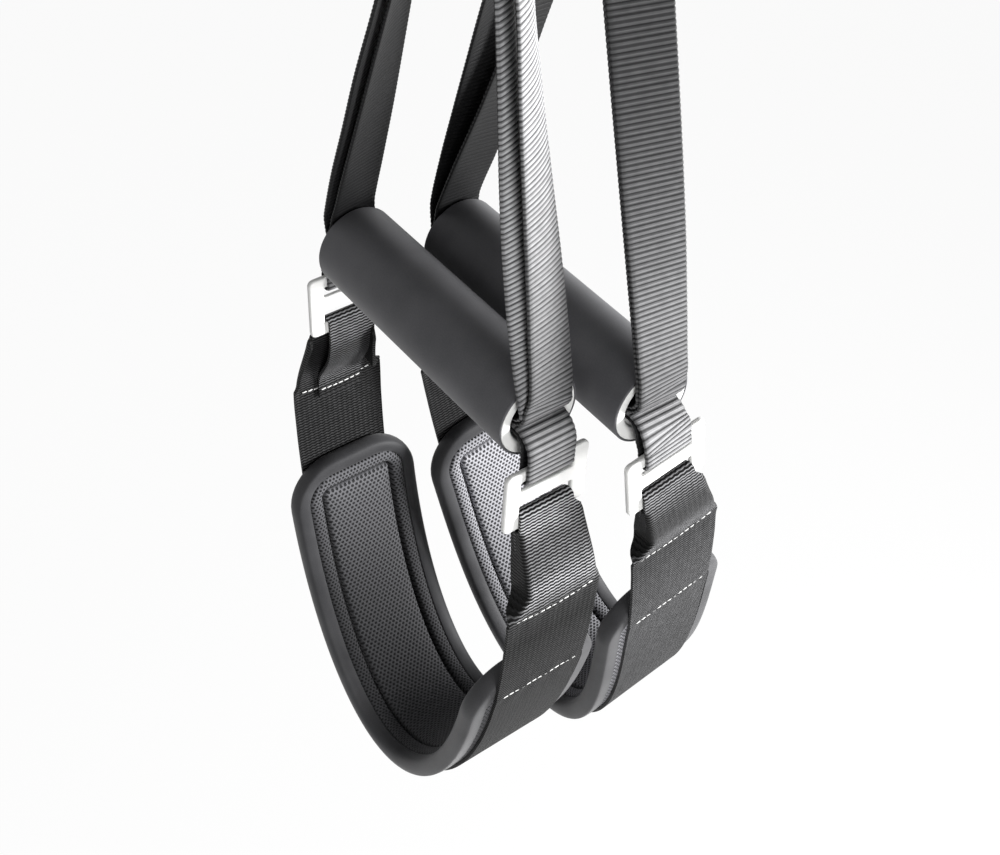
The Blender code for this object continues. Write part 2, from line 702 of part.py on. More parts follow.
def make_grip(side, holder):
    """Foam sleeve, tube and two end caps, all on the grip's axis."""
    edge = 0.0015
    foam = [
        (foam_inner, half_sleeve),
        (foam_inner, -half_sleeve),
        *rounded((foam_radius - edge, -half_sleeve + edge), edge, -90, 0, 2),
        *rounded((foam_radius - edge, half_sleeve - edge), edge, 0, 90, 2),
    ]
    tube = [
        (tube_inner, half_sleeve),
        (tube_inner, -half_sleeve),
        (tube_outer, -half_sleeve),
        (tube_outer, half_sleeve),
    ]
    inside = half_grip - FLANGE_THICKNESS
    lip = 0.0012
    cap = [
        (bore_radius, half_grip - MOUTH_ROUNDING),
        (bore_radius, inside - SPIGOT_LENGTH),
        (spigot_radius, inside - SPIGOT_LENGTH),
        (spigot_radius, inside),
        (flange_radius, inside),
        *rounded((flange_radius - lip, half_grip - lip), lip, 0, 90, 2),
        *rounded((bore_radius + MOUTH_ROUNDING, half_grip - MOUTH_ROUNDING), MOUTH_ROUNDING, 90, 180, 3)[:-1],
    ]
    pieces = [
        (f"{side}_grip_foam", foam, 32, black_foam, 1),
        (f"{side}_grip_tube", tube, 24, grey_plastic, 1),
        (f"{side}_front_end_cap", cap, 28, white_plastic, 1),
        (f"{side}_back_end_cap", cap, 28, white_plastic, -1),
    ]
    for name, profile, steps, look, way in pieces:
        piece = revolved(name, profile[::-1], steps)
        piece.rotation_euler = (0, way * math.pi / 2, 0)
        finished(piece, holder, look)


def loop_corners(bar_x):
    """The inner strap of a loop: through the grip, up each side and round the bar."""
    side = half_grip + STRAP_STANDOFF
    low = LAYER_GAP / 2 + WEBBING_THICKNESS / 2 + layer_pitch
    knee = low + KNEE_HEIGHT
    peak = tangent_corner((side, knee), (-side, knee), (bar_x, HANG_HEIGHT), loop_turn)
    return [
        (side, low, WEBBING_BEND, 6),
        (side, knee, KNEE_RADIUS, 2),
        (peak[0], peak[1], loop_turn, 12),
        (-side, knee, KNEE_RADIUS, 2),
        (-side, low, WEBBING_BEND, 6),
    ]


def link_corners():
    """The short closed strap: through the grip and round the top bar of both buckles."""
    inner = plate_x - wrap_radius
    outer = plate_x + wrap_radius
    high = -(LAYER_GAP / 2 + WEBBING_THICKNESS / 2)
    low = high - layer_pitch
    foot = -(upper_slot_top - 0.0008 + wrap_radius)
    wide = outer - half_grip
    return [
        (inner, low, WEBBING_BEND, 6),
        (inner, foot, wrap_radius, 4),
        (outer, foot, wrap_radius, 4),
        (outer, high, wide, 8),
        (-outer, high, wide, 8),
        (-outer, foot, wrap_radius, 4),
        (-inner, foot, wrap_radius, 4),
        (-inner, low, WEBBING_BEND, 6),
    ]


def make_set(side, loop_holder, centre, swing, lean):
    """One hanging set, drawn round the grip's own centre."""
    grip_place = (centre[0], centre[1], -HANG_HEIGHT)
    bar_x = -centre[0]

    # Loop straps, drawn with the grip at the origin and then hung from the bar
    inner = loop_corners(bar_x)
    outer = outset(inner, layer_pitch)
    for name, corners in ((f"{side}_inner_loop_strap", inner), (f"{side}_outer_loop_strap", outer)):
        strap = finished(band(name, filleted(corners), True), loop_holder, black_webbing)
        strap.location = grip_place

    # Link strap: its run through the grip stays level, and its ends turn with the cradle
    path = filleted(link_corners())
    turned = swing * smooth_step(-path[:, 1], stack_half, PLATE_DROP - 0.002)
    link = finished(band(f"{side}_link_strap", path, True, turned), loop_holder, black_webbing)
    link.location = grip_place

    grip_holder = empty(f"{side}_grip_axis", grip_place, loop_holder)
    make_grip(side, grip_holder)

    cradle_holder = empty(f"{side}_cradle_axis", grip_place, loop_holder, swing)
    make_buckle(f"{side}_front_buckle", cradle_holder, plate_x)
    make_buckle(f"{side}_back_buckle", cradle_holder, -plate_x)
    finished(make_cradle_webbing(f"{side}_cradle_webbing", lean), cradle_holder, black_webbing)
    finished(make_pad_piece(f"{side}_cradle_pad", core_profile, False, lean), cradle_holder, black_neoprene)
    finished(make_pad_piece(f"{side}_edge_binding", binding_profile, True, lean), cradle_holder, black_neoprene)
    finished(make_pad_piece(f"{side}_pad_liner", liner_profile, False, lean), cradle_holder, grey_mesh)


# Hook body: a rod bent into an open oval, with a tongue at each end
arc = np.linspace(0, math.pi, 13)
hook_path = [(hook_line, 0, -HOOK_NOSE_DROP)]
hook_path += [(hook_line * math.cos(a), 0, hook_top_centre + hook_line * math.sin(a)) for a in arc]
hook_path += [(-hook_line * math.cos(a), 0, hook_low_centre - hook_line * math.sin(a)) for a in arc]
hook_path += [(hook_line, 0, pin_height - gate_radius - 0.0005)]
carabiner = as_mesh(rod("carabiner_body", hook_path, HOOK_WIRE, False, 3))
half_tongue = TONGUE_THICKNESS / 2
nose_low = -HOOK_NOSE_DROP - NOSE_TONGUE_LENGTH
nose_back = hook_line - 0.0009
nose_tongue = box(
    "nose_tongue",
    (nose_back, -half_tongue, nose_low),
    (hook_line + 0.0032, half_tongue, -HOOK_NOSE_DROP + 0.002),
)
stem = box(
    "hinge_stem",
    (hook_line - tongue_radius, -half_tongue, pin_height - gate_radius - 0.0015),
    (hook_line + tongue_radius, half_tongue, pin_height),
)
eye = cylinder("hinge_eye", tongue_radius, TONGUE_THICKNESS, (hook_line, 0, pin_height), "Y", 24)
body_hole = cylinder("body_pin_hole", pin_hole, 0.02, (hook_line, 0, pin_height), "Y", 16)
combine(carabiner, nose_tongue, "UNION")
combine(carabiner, stem, "UNION")
combine(carabiner, eye, "UNION")
combine(carabiner, body_hole, "DIFFERENCE")
finished(carabiner, None, polished_steel)

# Gate: its empty stands on the pin, so the gate turns about its own hinge
gate_axis = empty("gate_axis", (hook_line, 0, pin_height))
gate_height = gate_top - pin_height
gate = cylinder("carabiner_gate", gate_radius, gate_height, (0, 0, gate_height / 2), "Z", 20)
knuckle = cylinder("gate_knuckle", gate_radius, KNUCKLE_WIDTH, (0, 0, 0), "Y", 24)
slot_half = half_tongue + TOUCH_GAP + 0.0001
hinge_slot = box(
    "gate_hinge_slot",
    (-0.01, -slot_half, -0.01),
    (0.01, slot_half, tongue_radius + 0.0006),
)
nose_slot = box(
    "gate_nose_slot",
    (nose_back - hook_line - TOUCH_GAP, -slot_half, gate_height - NOSE_TONGUE_LENGTH - 0.0004),
    (0.01, slot_half, gate_height + 0.01),
)
gate_hole = cylinder("gate_pin_hole", pin_hole, 0.02, (0, 0, 0), "Y", 16)
bore_low = tongue_radius - 0.0010
bore_high = tongue_radius + TOUCH_GAP + SPRING_LENGTH + TOUCH_GAP
bore = cylinder("gate_spring_bore", spring_bore, bore_high - bore_low, (0, 0, (bore_low + bore_high) / 2), "Z", 14)
for other, operation in (
    (knuckle, "UNION"),
    (hinge_slot, "DIFFERENCE"),
    (nose_slot, "DIFFERENCE"),
    (gate_hole, "DIFFERENCE"),
    (bore, "DIFFERENCE"),
):
    other.parent = gate_axis
    combine(gate, other, operation)
finished(gate, gate_axis, polished_steel)

pin_length = KNUCKLE_WIDTH + 2 * PIN_PROUD
gate_pin = cylinder("gate_pin", PIN_DIAMETER / 2, pin_length, (hook_line, 0, pin_height), "Y", 16)
finished(gate_pin, None, polished_steel)

coils = np.linspace(0, 2 * math.pi * SPRING_TURNS, 8 * SPRING_TURNS + 1)
coil_radius = (SPRING_DIAMETER - SPRING_WIRE) / 2
coil_low = tongue_radius + TOUCH_GAP + SPRING_WIRE / 2
coil_rise = (SPRING_LENGTH - SPRING_WIRE) / coils[-1]
coil_path = [(coil_radius * math.cos(a), coil_radius * math.sin(a), coil_low + coil_rise * a) for a in coils]
gate_spring = rod("gate_spring", coil_path, SPRING_WIRE, False, 1)
finished(gate_spring, gate_axis, spring_steel)

# Hanger: a closed steel triangle whose lower side carries both loops
hanger_axis = empty("hanger_axis", (0, 0, hook_low_wire))
bar_drop = bar_height - hook_low_wire
bar_half = bar_flat_half + HANGER_CORNER
for _ in range(20):
    # The corner stands out as far as its rounding needs, which depends on the triangle's own slope.
    peak = tangent_corner((bar_half, bar_drop), (-bar_half, bar_drop), (0, 0), hanger_bend)
    slope = math.atan2(peak[1] - bar_drop, bar_half)
    bar_half = bar_flat_half + HANGER_CORNER / math.tan(slope / 2)
hanger_path = filleted(
    [
        (peak[0], peak[1], hanger_bend, 10),
        (-bar_half, bar_drop, HANGER_CORNER, 6),
        (bar_half, bar_drop, HANGER_CORNER, 6),
    ]
)
hanger = rod("hanger_ring", [(0, across, up) for across, up in hanger_path], HANGER_WIRE, True, 2)
finished(hanger, hanger_axis, polished_steel)

# The two sets hang from the bar, each loop turning about the bar's axis
right_lean = (FRONT_LEANS_IN, FRONT_LEANS_ASIDE, BACK_LEANS_ASIDE)
for side, way, swing, lean in (("left", -1, -LEFT_SWING, (0, 0, 0)), ("right", 1, right_swing, right_lean)):
    loop_axis = empty(f"{side}_loop_axis", (0, 0, bar_drop), hanger_axis)
    make_set(side, loop_axis, (way * SET_STAGGER, way * sets_apart / 2), swing, lean)
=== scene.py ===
# Suspension trainer: foam grips and padded foot cradles on webbing loops, hung from a hanger and a snap hook.
import math
import bmesh
import bpy
import numpy as np
from mathutils import Matrix


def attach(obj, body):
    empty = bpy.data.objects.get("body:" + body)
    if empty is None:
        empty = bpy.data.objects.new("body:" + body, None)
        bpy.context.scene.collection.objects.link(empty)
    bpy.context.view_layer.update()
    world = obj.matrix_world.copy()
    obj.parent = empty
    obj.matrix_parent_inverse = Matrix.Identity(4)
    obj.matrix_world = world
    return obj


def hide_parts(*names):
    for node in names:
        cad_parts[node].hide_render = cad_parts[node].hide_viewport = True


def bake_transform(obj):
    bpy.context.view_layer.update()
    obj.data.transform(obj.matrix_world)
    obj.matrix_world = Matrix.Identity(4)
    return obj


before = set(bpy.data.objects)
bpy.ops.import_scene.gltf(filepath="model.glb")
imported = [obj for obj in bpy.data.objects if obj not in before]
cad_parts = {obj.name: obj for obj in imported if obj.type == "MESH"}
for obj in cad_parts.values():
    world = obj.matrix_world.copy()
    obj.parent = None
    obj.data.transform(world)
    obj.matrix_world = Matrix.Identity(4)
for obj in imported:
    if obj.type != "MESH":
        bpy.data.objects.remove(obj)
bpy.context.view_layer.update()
mm = 0.001  # lengths are in metres where a note says nothing else


def addObject(name, data):  # a new object in the scene
    thing = bpy.data.objects.new(name, data)
    bpy.context.scene.collection.objects.link(thing)
    return thing


def facing(right, up, back, place):  # the placement of a camera or lamp
    return Matrix([[right[k], up[k], back[k], place[k]] for k in range(3)] + [[0, 0, 0, 1]])


# Where the two sets hang. The swing is each cradle's turn about its grip at rest, in degrees, and the lean is
# how far its front side hangs in, and how far its front and back sides hang aside.
sets = {
    "left": {"centre": (-0.010, -0.0219935, -0.436), "barX": 0.010, "swing": 0.75,
             "lean": (0.0, 0.0, 0.0)},
    "right": {"centre": (0.010, 0.0219935, -0.436), "barX": -0.010, "swing": 10.7956,
              "lean": (0.018, 0.009, 0.0035)},
}

# The camera's place from the middle of the left grip, its angles in degrees and its lens in mm
shot = {"fromLeftGrip": (0.388135, -0.288442, 0.401229), "azimuth": 49.969, "elevation": 43.598,
        "roll": 4.562, "lens": 52.0}

# The camera's back, right and up vectors from its azimuth, elevation and roll
azimuth, elevation, roll = (math.radians(shot[key]) for key in ("azimuth", "elevation", "roll"))
back = np.array([math.sin(azimuth) * math.cos(elevation), -math.cos(azimuth) * math.cos(elevation),
                 math.sin(elevation)])
levelRight = np.array([math.cos(azimuth), math.sin(azimuth), 0.0])
levelUp = np.cross(back, levelRight)
camRight = math.cos(roll) * levelRight + math.sin(roll) * levelUp
camUp = -math.sin(roll) * levelRight + math.cos(roll) * levelUp
camPlace = np.array(sets["left"]["centre"]) + np.array(shot["fromLeftGrip"])
camera = addObject("photoCamera", bpy.data.cameras.new("photoCamera"))
camera.data.lens = shot["lens"]
camera.data.sensor_width = 36
camera.data.clip_start = 0.01
camera.matrix_world = facing(camRight, camUp, back, camPlace)
bpy.context.scene.camera = camera
print("camera set")


def toLinear(hexColour):  # sRGB hex to the linear values that the shader takes
    parts = [int(hexColour[k:k + 2], 16) / 255 for k in (1, 3, 5)]
    return (*[c / 12.92 if c <= 0.04045 else ((c + 0.055) / 1.055) ** 2.4 for c in parts], 1.0)


def addNode(tree, kind, values=None, links=None, **settings):
    # One node with its settings, input values and links, which come from a socket or a node's first output
    node = tree.nodes.new("ShaderNode" + kind)
    for key, value in settings.items():
        setattr(node, key, value)
    for key, value in (values or {}).items():
        node.inputs[key].default_value = value
    for key, source in (links or {}).items():
        tree.links.new(getattr(source, "outputs", [source])[0], node.inputs[key])
    return node


def newMaterial(name, look):
    look = {"metallic": 0.0, "sheen": 0.0, "specular": 0.5, "colour": "#808080", **look}
    material = bpy.data.materials.new(name)
    material.use_nodes = True
    tree = material.node_tree
    shader = tree.nodes["Principled BSDF"]
    shader.inputs["Base Color"].default_value = toLinear(look["colour"])
    shader.inputs["Sheen Roughness"].default_value = 0.4
    for socket, key in (("Roughness", "roughness"), ("Metallic", "metallic"), ("Sheen Weight", "sheen"),
                        ("Specular IOR Level", "specular")):
        shader.inputs[socket].default_value = look[key]
    return material, tree, shader


def paint(tree, shader, look, share, height, paintedTone=None):
    # Relief, and colour between the look's two ends by a share, paler or darker by a factor of painted light
    # and shade if there is one
    mix = addNode(tree, "Mix", {6: toLinear(look["dark"]), 7: toLinear(look["light"])}, {0: share},
                  data_type="RGBA")
    colour = mix.outputs[2]
    if paintedTone is not None:
        scaled = addNode(tree, "VectorMath", links={0: colour, 3: paintedTone}, operation="SCALE")
        colour = scaled.outputs[0]
    tree.links.new(colour, shader.inputs["Base Color"])
    bump = addNode(tree, "Bump", {"Strength": look["bump"], "Distance": look["relief"] * mm},
                   {"Height": height})
    tree.links.new(bump.outputs[0], shader.inputs["Normal"])


def makeWebbing(name, look):
    # Woven polyester webbing, dull between its ribs and faintly shiny. An attribute paints light and shade
    # into
    # its pale colour: painted highlights on the crowns, and painted shade where the attribute is low.
    material, tree, shader = newMaterial(name, look)
    uv = addNode(tree, "UVMap", uv_map="cloth")
    paintedLight = addNode(tree, "Attribute", attribute_name="paintedLight")
    # Weft lines lie look["weave"] mm apart: the sine of the length plus a wave of look["yarn"] mm across
    split = addNode(tree, "SeparateXYZ", links={0: uv})
    along, across = (addNode(tree, "Math", {1: 2 * math.pi / (look[key] * mm)},
                             {0: split.outputs[k]}, operation="MULTIPLY")
                     for k, key in enumerate(("weave", "yarn")))
    yarn = addNode(tree, "Math", links={0: across}, operation="SINE")
    bent = addNode(tree, "Math", {1: 0.5}, {0: yarn, 2: along}, operation="MULTIPLY_ADD")
    woven = addNode(tree, "Math", links={0: bent}, operation="SINE")
    fuzz = addNode(tree, "TexNoise", {"Scale": 260.0, "Detail": 3.0},
                   {"Vector": addNode(tree, "TexCoord").outputs["Object"]})
    light = addNode(tree, "Math", {1: look["wovenShare"], 2: look["crestShare"]},
                    {0: woven}, operation="MULTIPLY_ADD")
    light = addNode(tree, "Math", {1: look["fuzz"]}, {0: fuzz.outputs["Fac"], 2: light},
                    operation="MULTIPLY_ADD")
    # The pale share times the attribute: painted highlight on the crowns, painted shade where it is low
    light = addNode(tree, "Math", links={0: light, 1: paintedLight.outputs["Fac"]},
                    operation="MULTIPLY", use_clamp=True)
    paint(tree, shader, look, light, woven)
    return material


def makeFoam(name, look):
    # Closed-cell or knit-faced foam: matte, with a fine grain of look["grain"] mm
    material, tree, shader = newMaterial(name, look)
    place = addNode(tree, "TexCoord").outputs["Object"]
    grain = addNode(tree, "TexNoise", {"Scale": 1 / (look["grain"] * mm), "Detail": 4.0}, {"Vector": place})
    cloud = addNode(tree, "TexNoise", {"Scale": 40.0, "Detail": 2.0}, {"Vector": place})
    both = addNode(tree, "Math", {1: 0.5}, {0: grain.outputs["Fac"], 2: cloud.outputs["Fac"]},
                   operation="MULTIPLY_ADD")
    share = addNode(tree, "MapRange", {1: 0.45, 2: 1.05}, {0: both})
    paint(tree, shader, look, share, grain.outputs["Fac"])
    return material


def makeMesh(name, look):
    # Knitted spacer mesh: rows of dimples look["pitch"] mm apart, with painted shade inside, every other row
    # set over by half. An attribute of painted light and shade makes it paler or darker along the pad.
    material, tree, shader = newMaterial(name, look)
    uv = addNode(tree, "UVMap", uv_map="cloth")
    split = addNode(tree, "SeparateXYZ", links={0: uv})
    waves = []
    rowStep = 0.866 * look["pitch"]  # rows of a hexagonal pattern are closer than its dimples
    for turn in (0, 60, 120):  # three waves at 60 degrees make the rows
        cosine, sine = (2 * math.pi / (rowStep * mm) * f(math.radians(turn)) for f in (math.cos, math.sin))
        part = addNode(tree, "Math", {1: cosine}, {0: split.outputs[0]}, operation="MULTIPLY")
        angle = addNode(tree, "Math", {1: sine}, {0: split.outputs[1], 2: part}, operation="MULTIPLY_ADD")
        waves.append(addNode(tree, "Math", links={0: angle}, operation="COSINE"))
    total = waves[0]
    for wave in waves[1:]:
        total = addNode(tree, "Math", links={0: total, 1: wave}, operation="ADD")
    crown, floor = -1.1, 1.7  # sums of the waves at the knit's crown and on a dimple's floor
    # 1 on the knit's crown and 0 on a dimple's floor: the relief's height, and the painted shade in the
    # dimples
    dimple = addNode(tree, "MapRange", {1: crown, 2: floor, 3: 1.0, 4: 0.0}, {0: total},
                     interpolation_type="SMOOTHSTEP")
    paintedTone = addNode(tree, "Attribute", attribute_name="paintedLight")
    paint(tree, shader, look, dimple, dimple, paintedTone.outputs["Fac"])
    return material


def makePlastic(name, look):
    # Smooth faces: moulded or extruded plastic, waxed thread and polished steel. Faint clouding in colour and
    # gloss keeps them from looking like paint.
    material, tree, shader = newMaterial(name, look)
    place = addNode(tree, "TexCoord").outputs["Object"]
    cloud = addNode(tree, "TexNoise", {"Scale": 90.0, "Detail": 3.0}, {"Vector": place})
    scuff = addNode(tree, "MapRange", {3: look["roughness"] - 0.05, 4: look["roughness"] + 0.08},
                    {0: cloud.outputs["Fac"]})
    tree.links.new(scuff.outputs[0], shader.inputs["Roughness"])
    look = {"bump": 0.05, "relief": 0.1, **look}
    paint(tree, shader, look, cloud.outputs["Fac"], cloud.outputs["Fac"])
    return material


# Grain, pitch, weave, yarn and relief in mm
looks = {
    # The webbings' pale ends show only where painted highlight lies on the ribs' crowns
    "ribbedWebbing": makeWebbing("ribbed polyester webbing", {
        "dark": "#0a0a0b", "light": "#d4d4d6", "roughness": 0.50, "sheen": 0.02, "specular": 0.12,
        "yarn": 0.9, "weave": 0.8, "crestShare": 0.26, "wovenShare": 0.05, "fuzz": 0.20, "bump": 0.2,
        "relief": 0.2}),
    "flatWebbing": makeWebbing("flat polyester webbing", {
        "dark": "#070707", "light": "#c0c0c3", "roughness": 0.50, "sheen": 0.02, "specular": 0.10,
        "yarn": 3.0, "weave": 1.8, "crestShare": -0.05, "wovenShare": 0.16, "fuzz": 0.14, "bump": 1.0,
        "relief": 0.2}),
    "gripFoam": makeFoam("nitrile foam", {
        "dark": "#47474a", "light": "#5e5e61", "roughness": 0.62, "sheen": 0.15, "specular": 0.35,
        "grain": 0.5, "bump": 0.10, "relief": 0.2}),
    "neoprene": makeFoam("knit-faced neoprene", {
        "dark": "#2c2c2e", "light": "#4a4a4c", "roughness": 0.60, "sheen": 0.20, "specular": 0.25,
        "grain": 0.4, "bump": 0.20, "relief": 0.2}),
    "padFace": makeMesh("spacer mesh ridge", {
        "dark": "#121213", "light": "#5c5c5f", "pitch": 2.2, "roughness": 0.75, "sheen": 0.1,
        "specular": 0.2, "bump": 0.5, "relief": 0.6}),
    "airMesh": makeMesh("spacer mesh panel", {
        "dark": "#1e1e20", "light": "#68686b", "pitch": 2.6, "roughness": 0.70, "sheen": 0.1,
        "specular": 0.2, "bump": 0.8, "relief": 0.6}),
    "whiteNylon": makePlastic("moulded white nylon", {
        "dark": "#e9e9e7", "light": "#f6f6f4", "roughness": 0.34}),
    "greyTube": makePlastic("extruded grey PVC", {
        "dark": "#5a5a5c", "light": "#6a6a6c", "roughness": 0.5}),
    "thread": makePlastic("white polyester thread", {
        "dark": "#d8d8d6", "light": "#f2f2f0", "roughness": 0.55}),
    "steel": makePlastic("polished stainless steel", {
        "dark": "#b4b4b6", "light": "#c9c9cb", "roughness": 0.22, "metallic": 1.0}),
}
print("materials made")


def addPiece(name, mesh, look, sharp):  # smooth faces up to an angle, a material and an object
    mesh.polygons.foreach_set("use_smooth", np.ones(len(mesh.polygons), bool))
    mesh.set_sharp_from_angle(angle=math.radians(sharp))
    mesh.validate()
    mesh.materials.clear()
    mesh.materials.append(looks[look])
    return addObject(name, mesh)


def buildMesh(name, points, quads, look, uv=None, paintedLight=None, sharp=50):
    # points (..., 3), quads (k, 4) and uv (k, 4, 2). Quads are turned over if the closed shape faces inwards.
    points = points.reshape(-1, 3)
    corners = points[quads]
    volume = np.einsum("ij,ij->", corners[:, 0], np.cross(corners[:, 1], corners[:, 2]))
    volume += np.einsum("ij,ij->", corners[:, 0], np.cross(corners[:, 2], corners[:, 3]))
    if volume < 0:
        quads = quads[:, ::-1]
        uv = None if uv is None else uv[:, ::-1]
    mesh = bpy.data.meshes.new(name)
    mesh.vertices.add(len(points))
    mesh.vertices.foreach_set("co", points.astype(np.float32).ravel())
    mesh.loops.add(quads.size)
    mesh.loops.foreach_set("vertex_index", quads.astype(np.int32).ravel())
    mesh.polygons.add(len(quads))
    mesh.polygons.foreach_set("loop_start", np.arange(len(quads), dtype=np.int32) * 4)
    mesh.update(calc_edges=True)
    if uv is not None:
        mesh.uv_layers.new(name="cloth").data.foreach_set("uv", uv.astype(np.float32).ravel())
    if paintedLight is not None:
        paintedTones = mesh.attributes.new("paintedLight", "FLOAT", "POINT").data
        paintedTones.foreach_set("value", paintedLight.astype(np.float32).ravel())
    return addPiece(name, mesh, look, sharp)


def gridQuads(rows, columns, closeRows, closeColumns):
    # Corner indices of a grid of points, and the same corners unwrapped for the UV map
    i = np.arange(rows if closeRows else rows - 1)[:, None]
    j = np.arange(columns if closeColumns else columns - 1)[None, :]
    corners = [(i, j), (i, j + 1), (i + 1, j + 1), (i + 1, j)]
    quads = np.stack([np.broadcast_to((a % rows) * columns + b % columns, (i.size, j.size))
                      for a, b in corners], -1)
    flat = np.stack([np.stack(np.broadcast_arrays(a, b), -1) for a, b in corners], 2)
    return quads.reshape(-1, 4), flat.reshape(-1, 4, 2)


def rungs(ring):
    # Closes a ring of points that are paired across its middle, first with last
    k = np.arange(len(ring) // 2 - 1)
    return np.stack([ring[k], ring[k + 1], ring[len(ring) - 2 - k], ring[len(ring) - 1 - k]], -1)


def tubeQuads(rows, columns):  # a tube of rings with a face at each end
    quads, _ = gridQuads(rows, columns, False, True)
    last = np.arange(columns) + (rows - 1) * columns
    return np.vstack([quads, rungs(np.arange(columns))[:, ::-1], rungs(last)])


# Below the grip's axis, where a lean starts and is full, and where it fades and ends. Across, where the back
# side's lean passes into the front side's.
leanRun = {"grows": (0.054, 0.105), "fades": (0.165, 0.295), "across": (-0.030, 0.040)}


def hang(points, side, turn=None):
    # Turns points about the grip by an angle and moves them to the grip's place. Without an angle they are a
    # cradle's: its sides lean first, and it turns by its own swing.
    x, y, z = points[..., 0], points[..., 1], points[..., 2]
    if turn is None:
        turn = math.radians(sets[side]["swing"])
        leanIn, frontAside, backAside = sets[side]["lean"]
        share = smoothStep(-z, *leanRun["grows"]) * (1 - smoothStep(-z, *leanRun["fades"]))
        front = smoothStep(x, *leanRun["across"])
        x, y = x - leanIn * share * front, y + share * (backAside + (frontAside - backAside) * front)
    cosine, sine = np.cos(turn), np.sin(turn)
    return np.stack([x, y * cosine - z * sine, y * sine + z * cosine], -1) + np.array(sets[side]["centre"])


def unit(vectors):  # of length 1, along the last axis
    return vectors / np.linalg.norm(vectors, axis=-1, keepdims=True)


def runLength(points):  # the length along a line up to each of its points
    return np.concatenate([[0], np.cumsum(np.linalg.norm(np.diff(points, axis=0), axis=1))])


def atLength(query, length, line):  # points of a flat line at lengths along it
    return np.stack([np.interp(query, length, line[:, k]) for k in (0, 1)], -1)


def smoothStep(value, start, end):  # 0 to 1 between two values, level at both
    share = np.clip((value - start) / (end - start), 0, 1)
    return share * share * (3 - 2 * share)


def through(query, stations, values):
    # A smooth curve through a short table: cubic pieces whose slopes are those of the neighbours
    stations, values = np.array(stations, float), np.array(values, float)
    slopes = np.gradient(values, stations)
    k = np.clip(np.searchsorted(stations, query) - 1, 0, len(stations) - 2)
    gap = stations[k + 1] - stations[k]
    t = np.clip((query - stations[k]) / gap, 0, 1)
    return ((2 * t**3 - 3 * t**2 + 1) * values[k] + (t**3 - 2 * t**2 + t) * gap * slopes[k]
            + (3 * t**2 - 2 * t**3) * values[k + 1] + (t**3 - t**2) * gap * slopes[k + 1])


def revolve(name, profile, look, side, steps, flip=1):
    # A closed profile of (radius, place along the grip) carried round the grip's axis
    radius, along = np.array(profile).T
    turn = np.linspace(0, 2 * math.pi, steps, endpoint=False)[:, None]
    points = np.stack([np.broadcast_to(flip * along, (steps, len(radius))), radius * np.cos(turn),
                       radius * np.sin(turn)], -1)
    quads, _ = gridQuads(steps, len(radius), True, True)
    return buildMesh(name, hang(points, side, 0.0), quads, look, sharp=35)


def arc(centreR, centreX, radius, start, end, count):
    turn = np.radians(np.linspace(start, end, count))
    return list(zip(centreR + radius * np.cos(turn), centreX + radius * np.sin(turn)))


grip = {"half": 0.0685, "foamRadius": 0.01999, "foamInner": 0.01679, "foamEdge": 0.0006, "foamGap": 0.0003,
        "lap": 0.0001, "lapRadius": 0.0191, "bore": 0.01339, "mouth": 0.0025, "spigot": 0.01469,
        "spigotLength": 0.012, "flange": 0.0189, "flangeThickness": 0.0012, "flangeEdge": 0.0003,
        "lip": 0.0006, "foamSteps": 128, "capSteps": 112}


def makeGrip(side):
    # The foam sleeve, and the two white bushes in the mouths of the tube
    g = grip
    inside = g["half"] - g["flangeThickness"]
    end = inside - g["foamGap"]
    lap = g["half"] - g["lap"]  # the foam's skin laps over the edge of the flange
    edge = g["foamEdge"]
    foam = [(g["lapRadius"], end), (g["foamInner"], end), (g["foamInner"], -end), (g["lapRadius"], -end),
            (g["lapRadius"], -lap)]
    foam += arc(g["foamRadius"] - edge, -lap + edge, edge, -90, 0, 8)
    foam += arc(g["foamRadius"] - edge, lap - edge, edge, 0, 90, 8)
    foam += [(g["lapRadius"], lap)]
    piece = revolve(f"{side}FoamSleeve", foam, "gripFoam", side, g["foamSteps"])
    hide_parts(f"{side}_grip_foam")
    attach(piece, f"{side}_grip")
    flange, lip = g["flangeEdge"], g["lip"]
    deepest = inside - g["spigotLength"]
    cap = [(g["bore"], deepest), (g["spigot"], deepest), (g["spigot"], inside)]
    cap += arc(g["flange"] - flange, inside + flange, flange, -90, 0, 4)
    cap += arc(g["flange"] - lip, g["half"] - lip, lip, 0, 90, 8)
    cap += arc(g["bore"] + g["mouth"], g["half"] - g["mouth"], g["mouth"], 90, 180, 10)
    for word, way in (("front", 1), ("back", -1)):
        piece = revolve(f"{side}{word.title()}EndCap", cap, "whiteNylon", side, g["capSteps"], way)
        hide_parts(f"{side}_{word}_end_cap")
        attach(piece, f"{side}_grip")


def roundedPath(corners, fine=0.0004, arcSteps=40):
    # A closed path of straight runs and arcs past corners (x, z, radius): even points along it, and its
    # length
    points = []
    count = len(corners)
    for index, (x, z, radius) in enumerate(corners):
        corner = np.array([x, z])
        before = unit(np.array(corners[index - 1][:2]) - corner)
        after = unit(np.array(corners[(index + 1) % count][:2]) - corner)
        between = math.acos(before @ after)
        centre = corner + unit(before + after) * radius / math.sin(between / 2)
        start = corner + before * radius / math.tan(between / 2) - centre
        sweep = math.pi - between
        sweep = -sweep if start[0] * before[1] - start[1] * before[0] > 0 else sweep
        turn = np.linspace(0, sweep, arcSteps)[:, None]
        points.append(centre + start * np.cos(turn) + np.array([-start[1], start[0]]) * np.sin(turn))
    points = np.vstack([*points, points[0][:1]])
    length = runLength(points)
    even = np.linspace(0, length[-1], int(length[-1] / fine) + 1)[:-1]
    return atLength(even, length, points), length[-1]


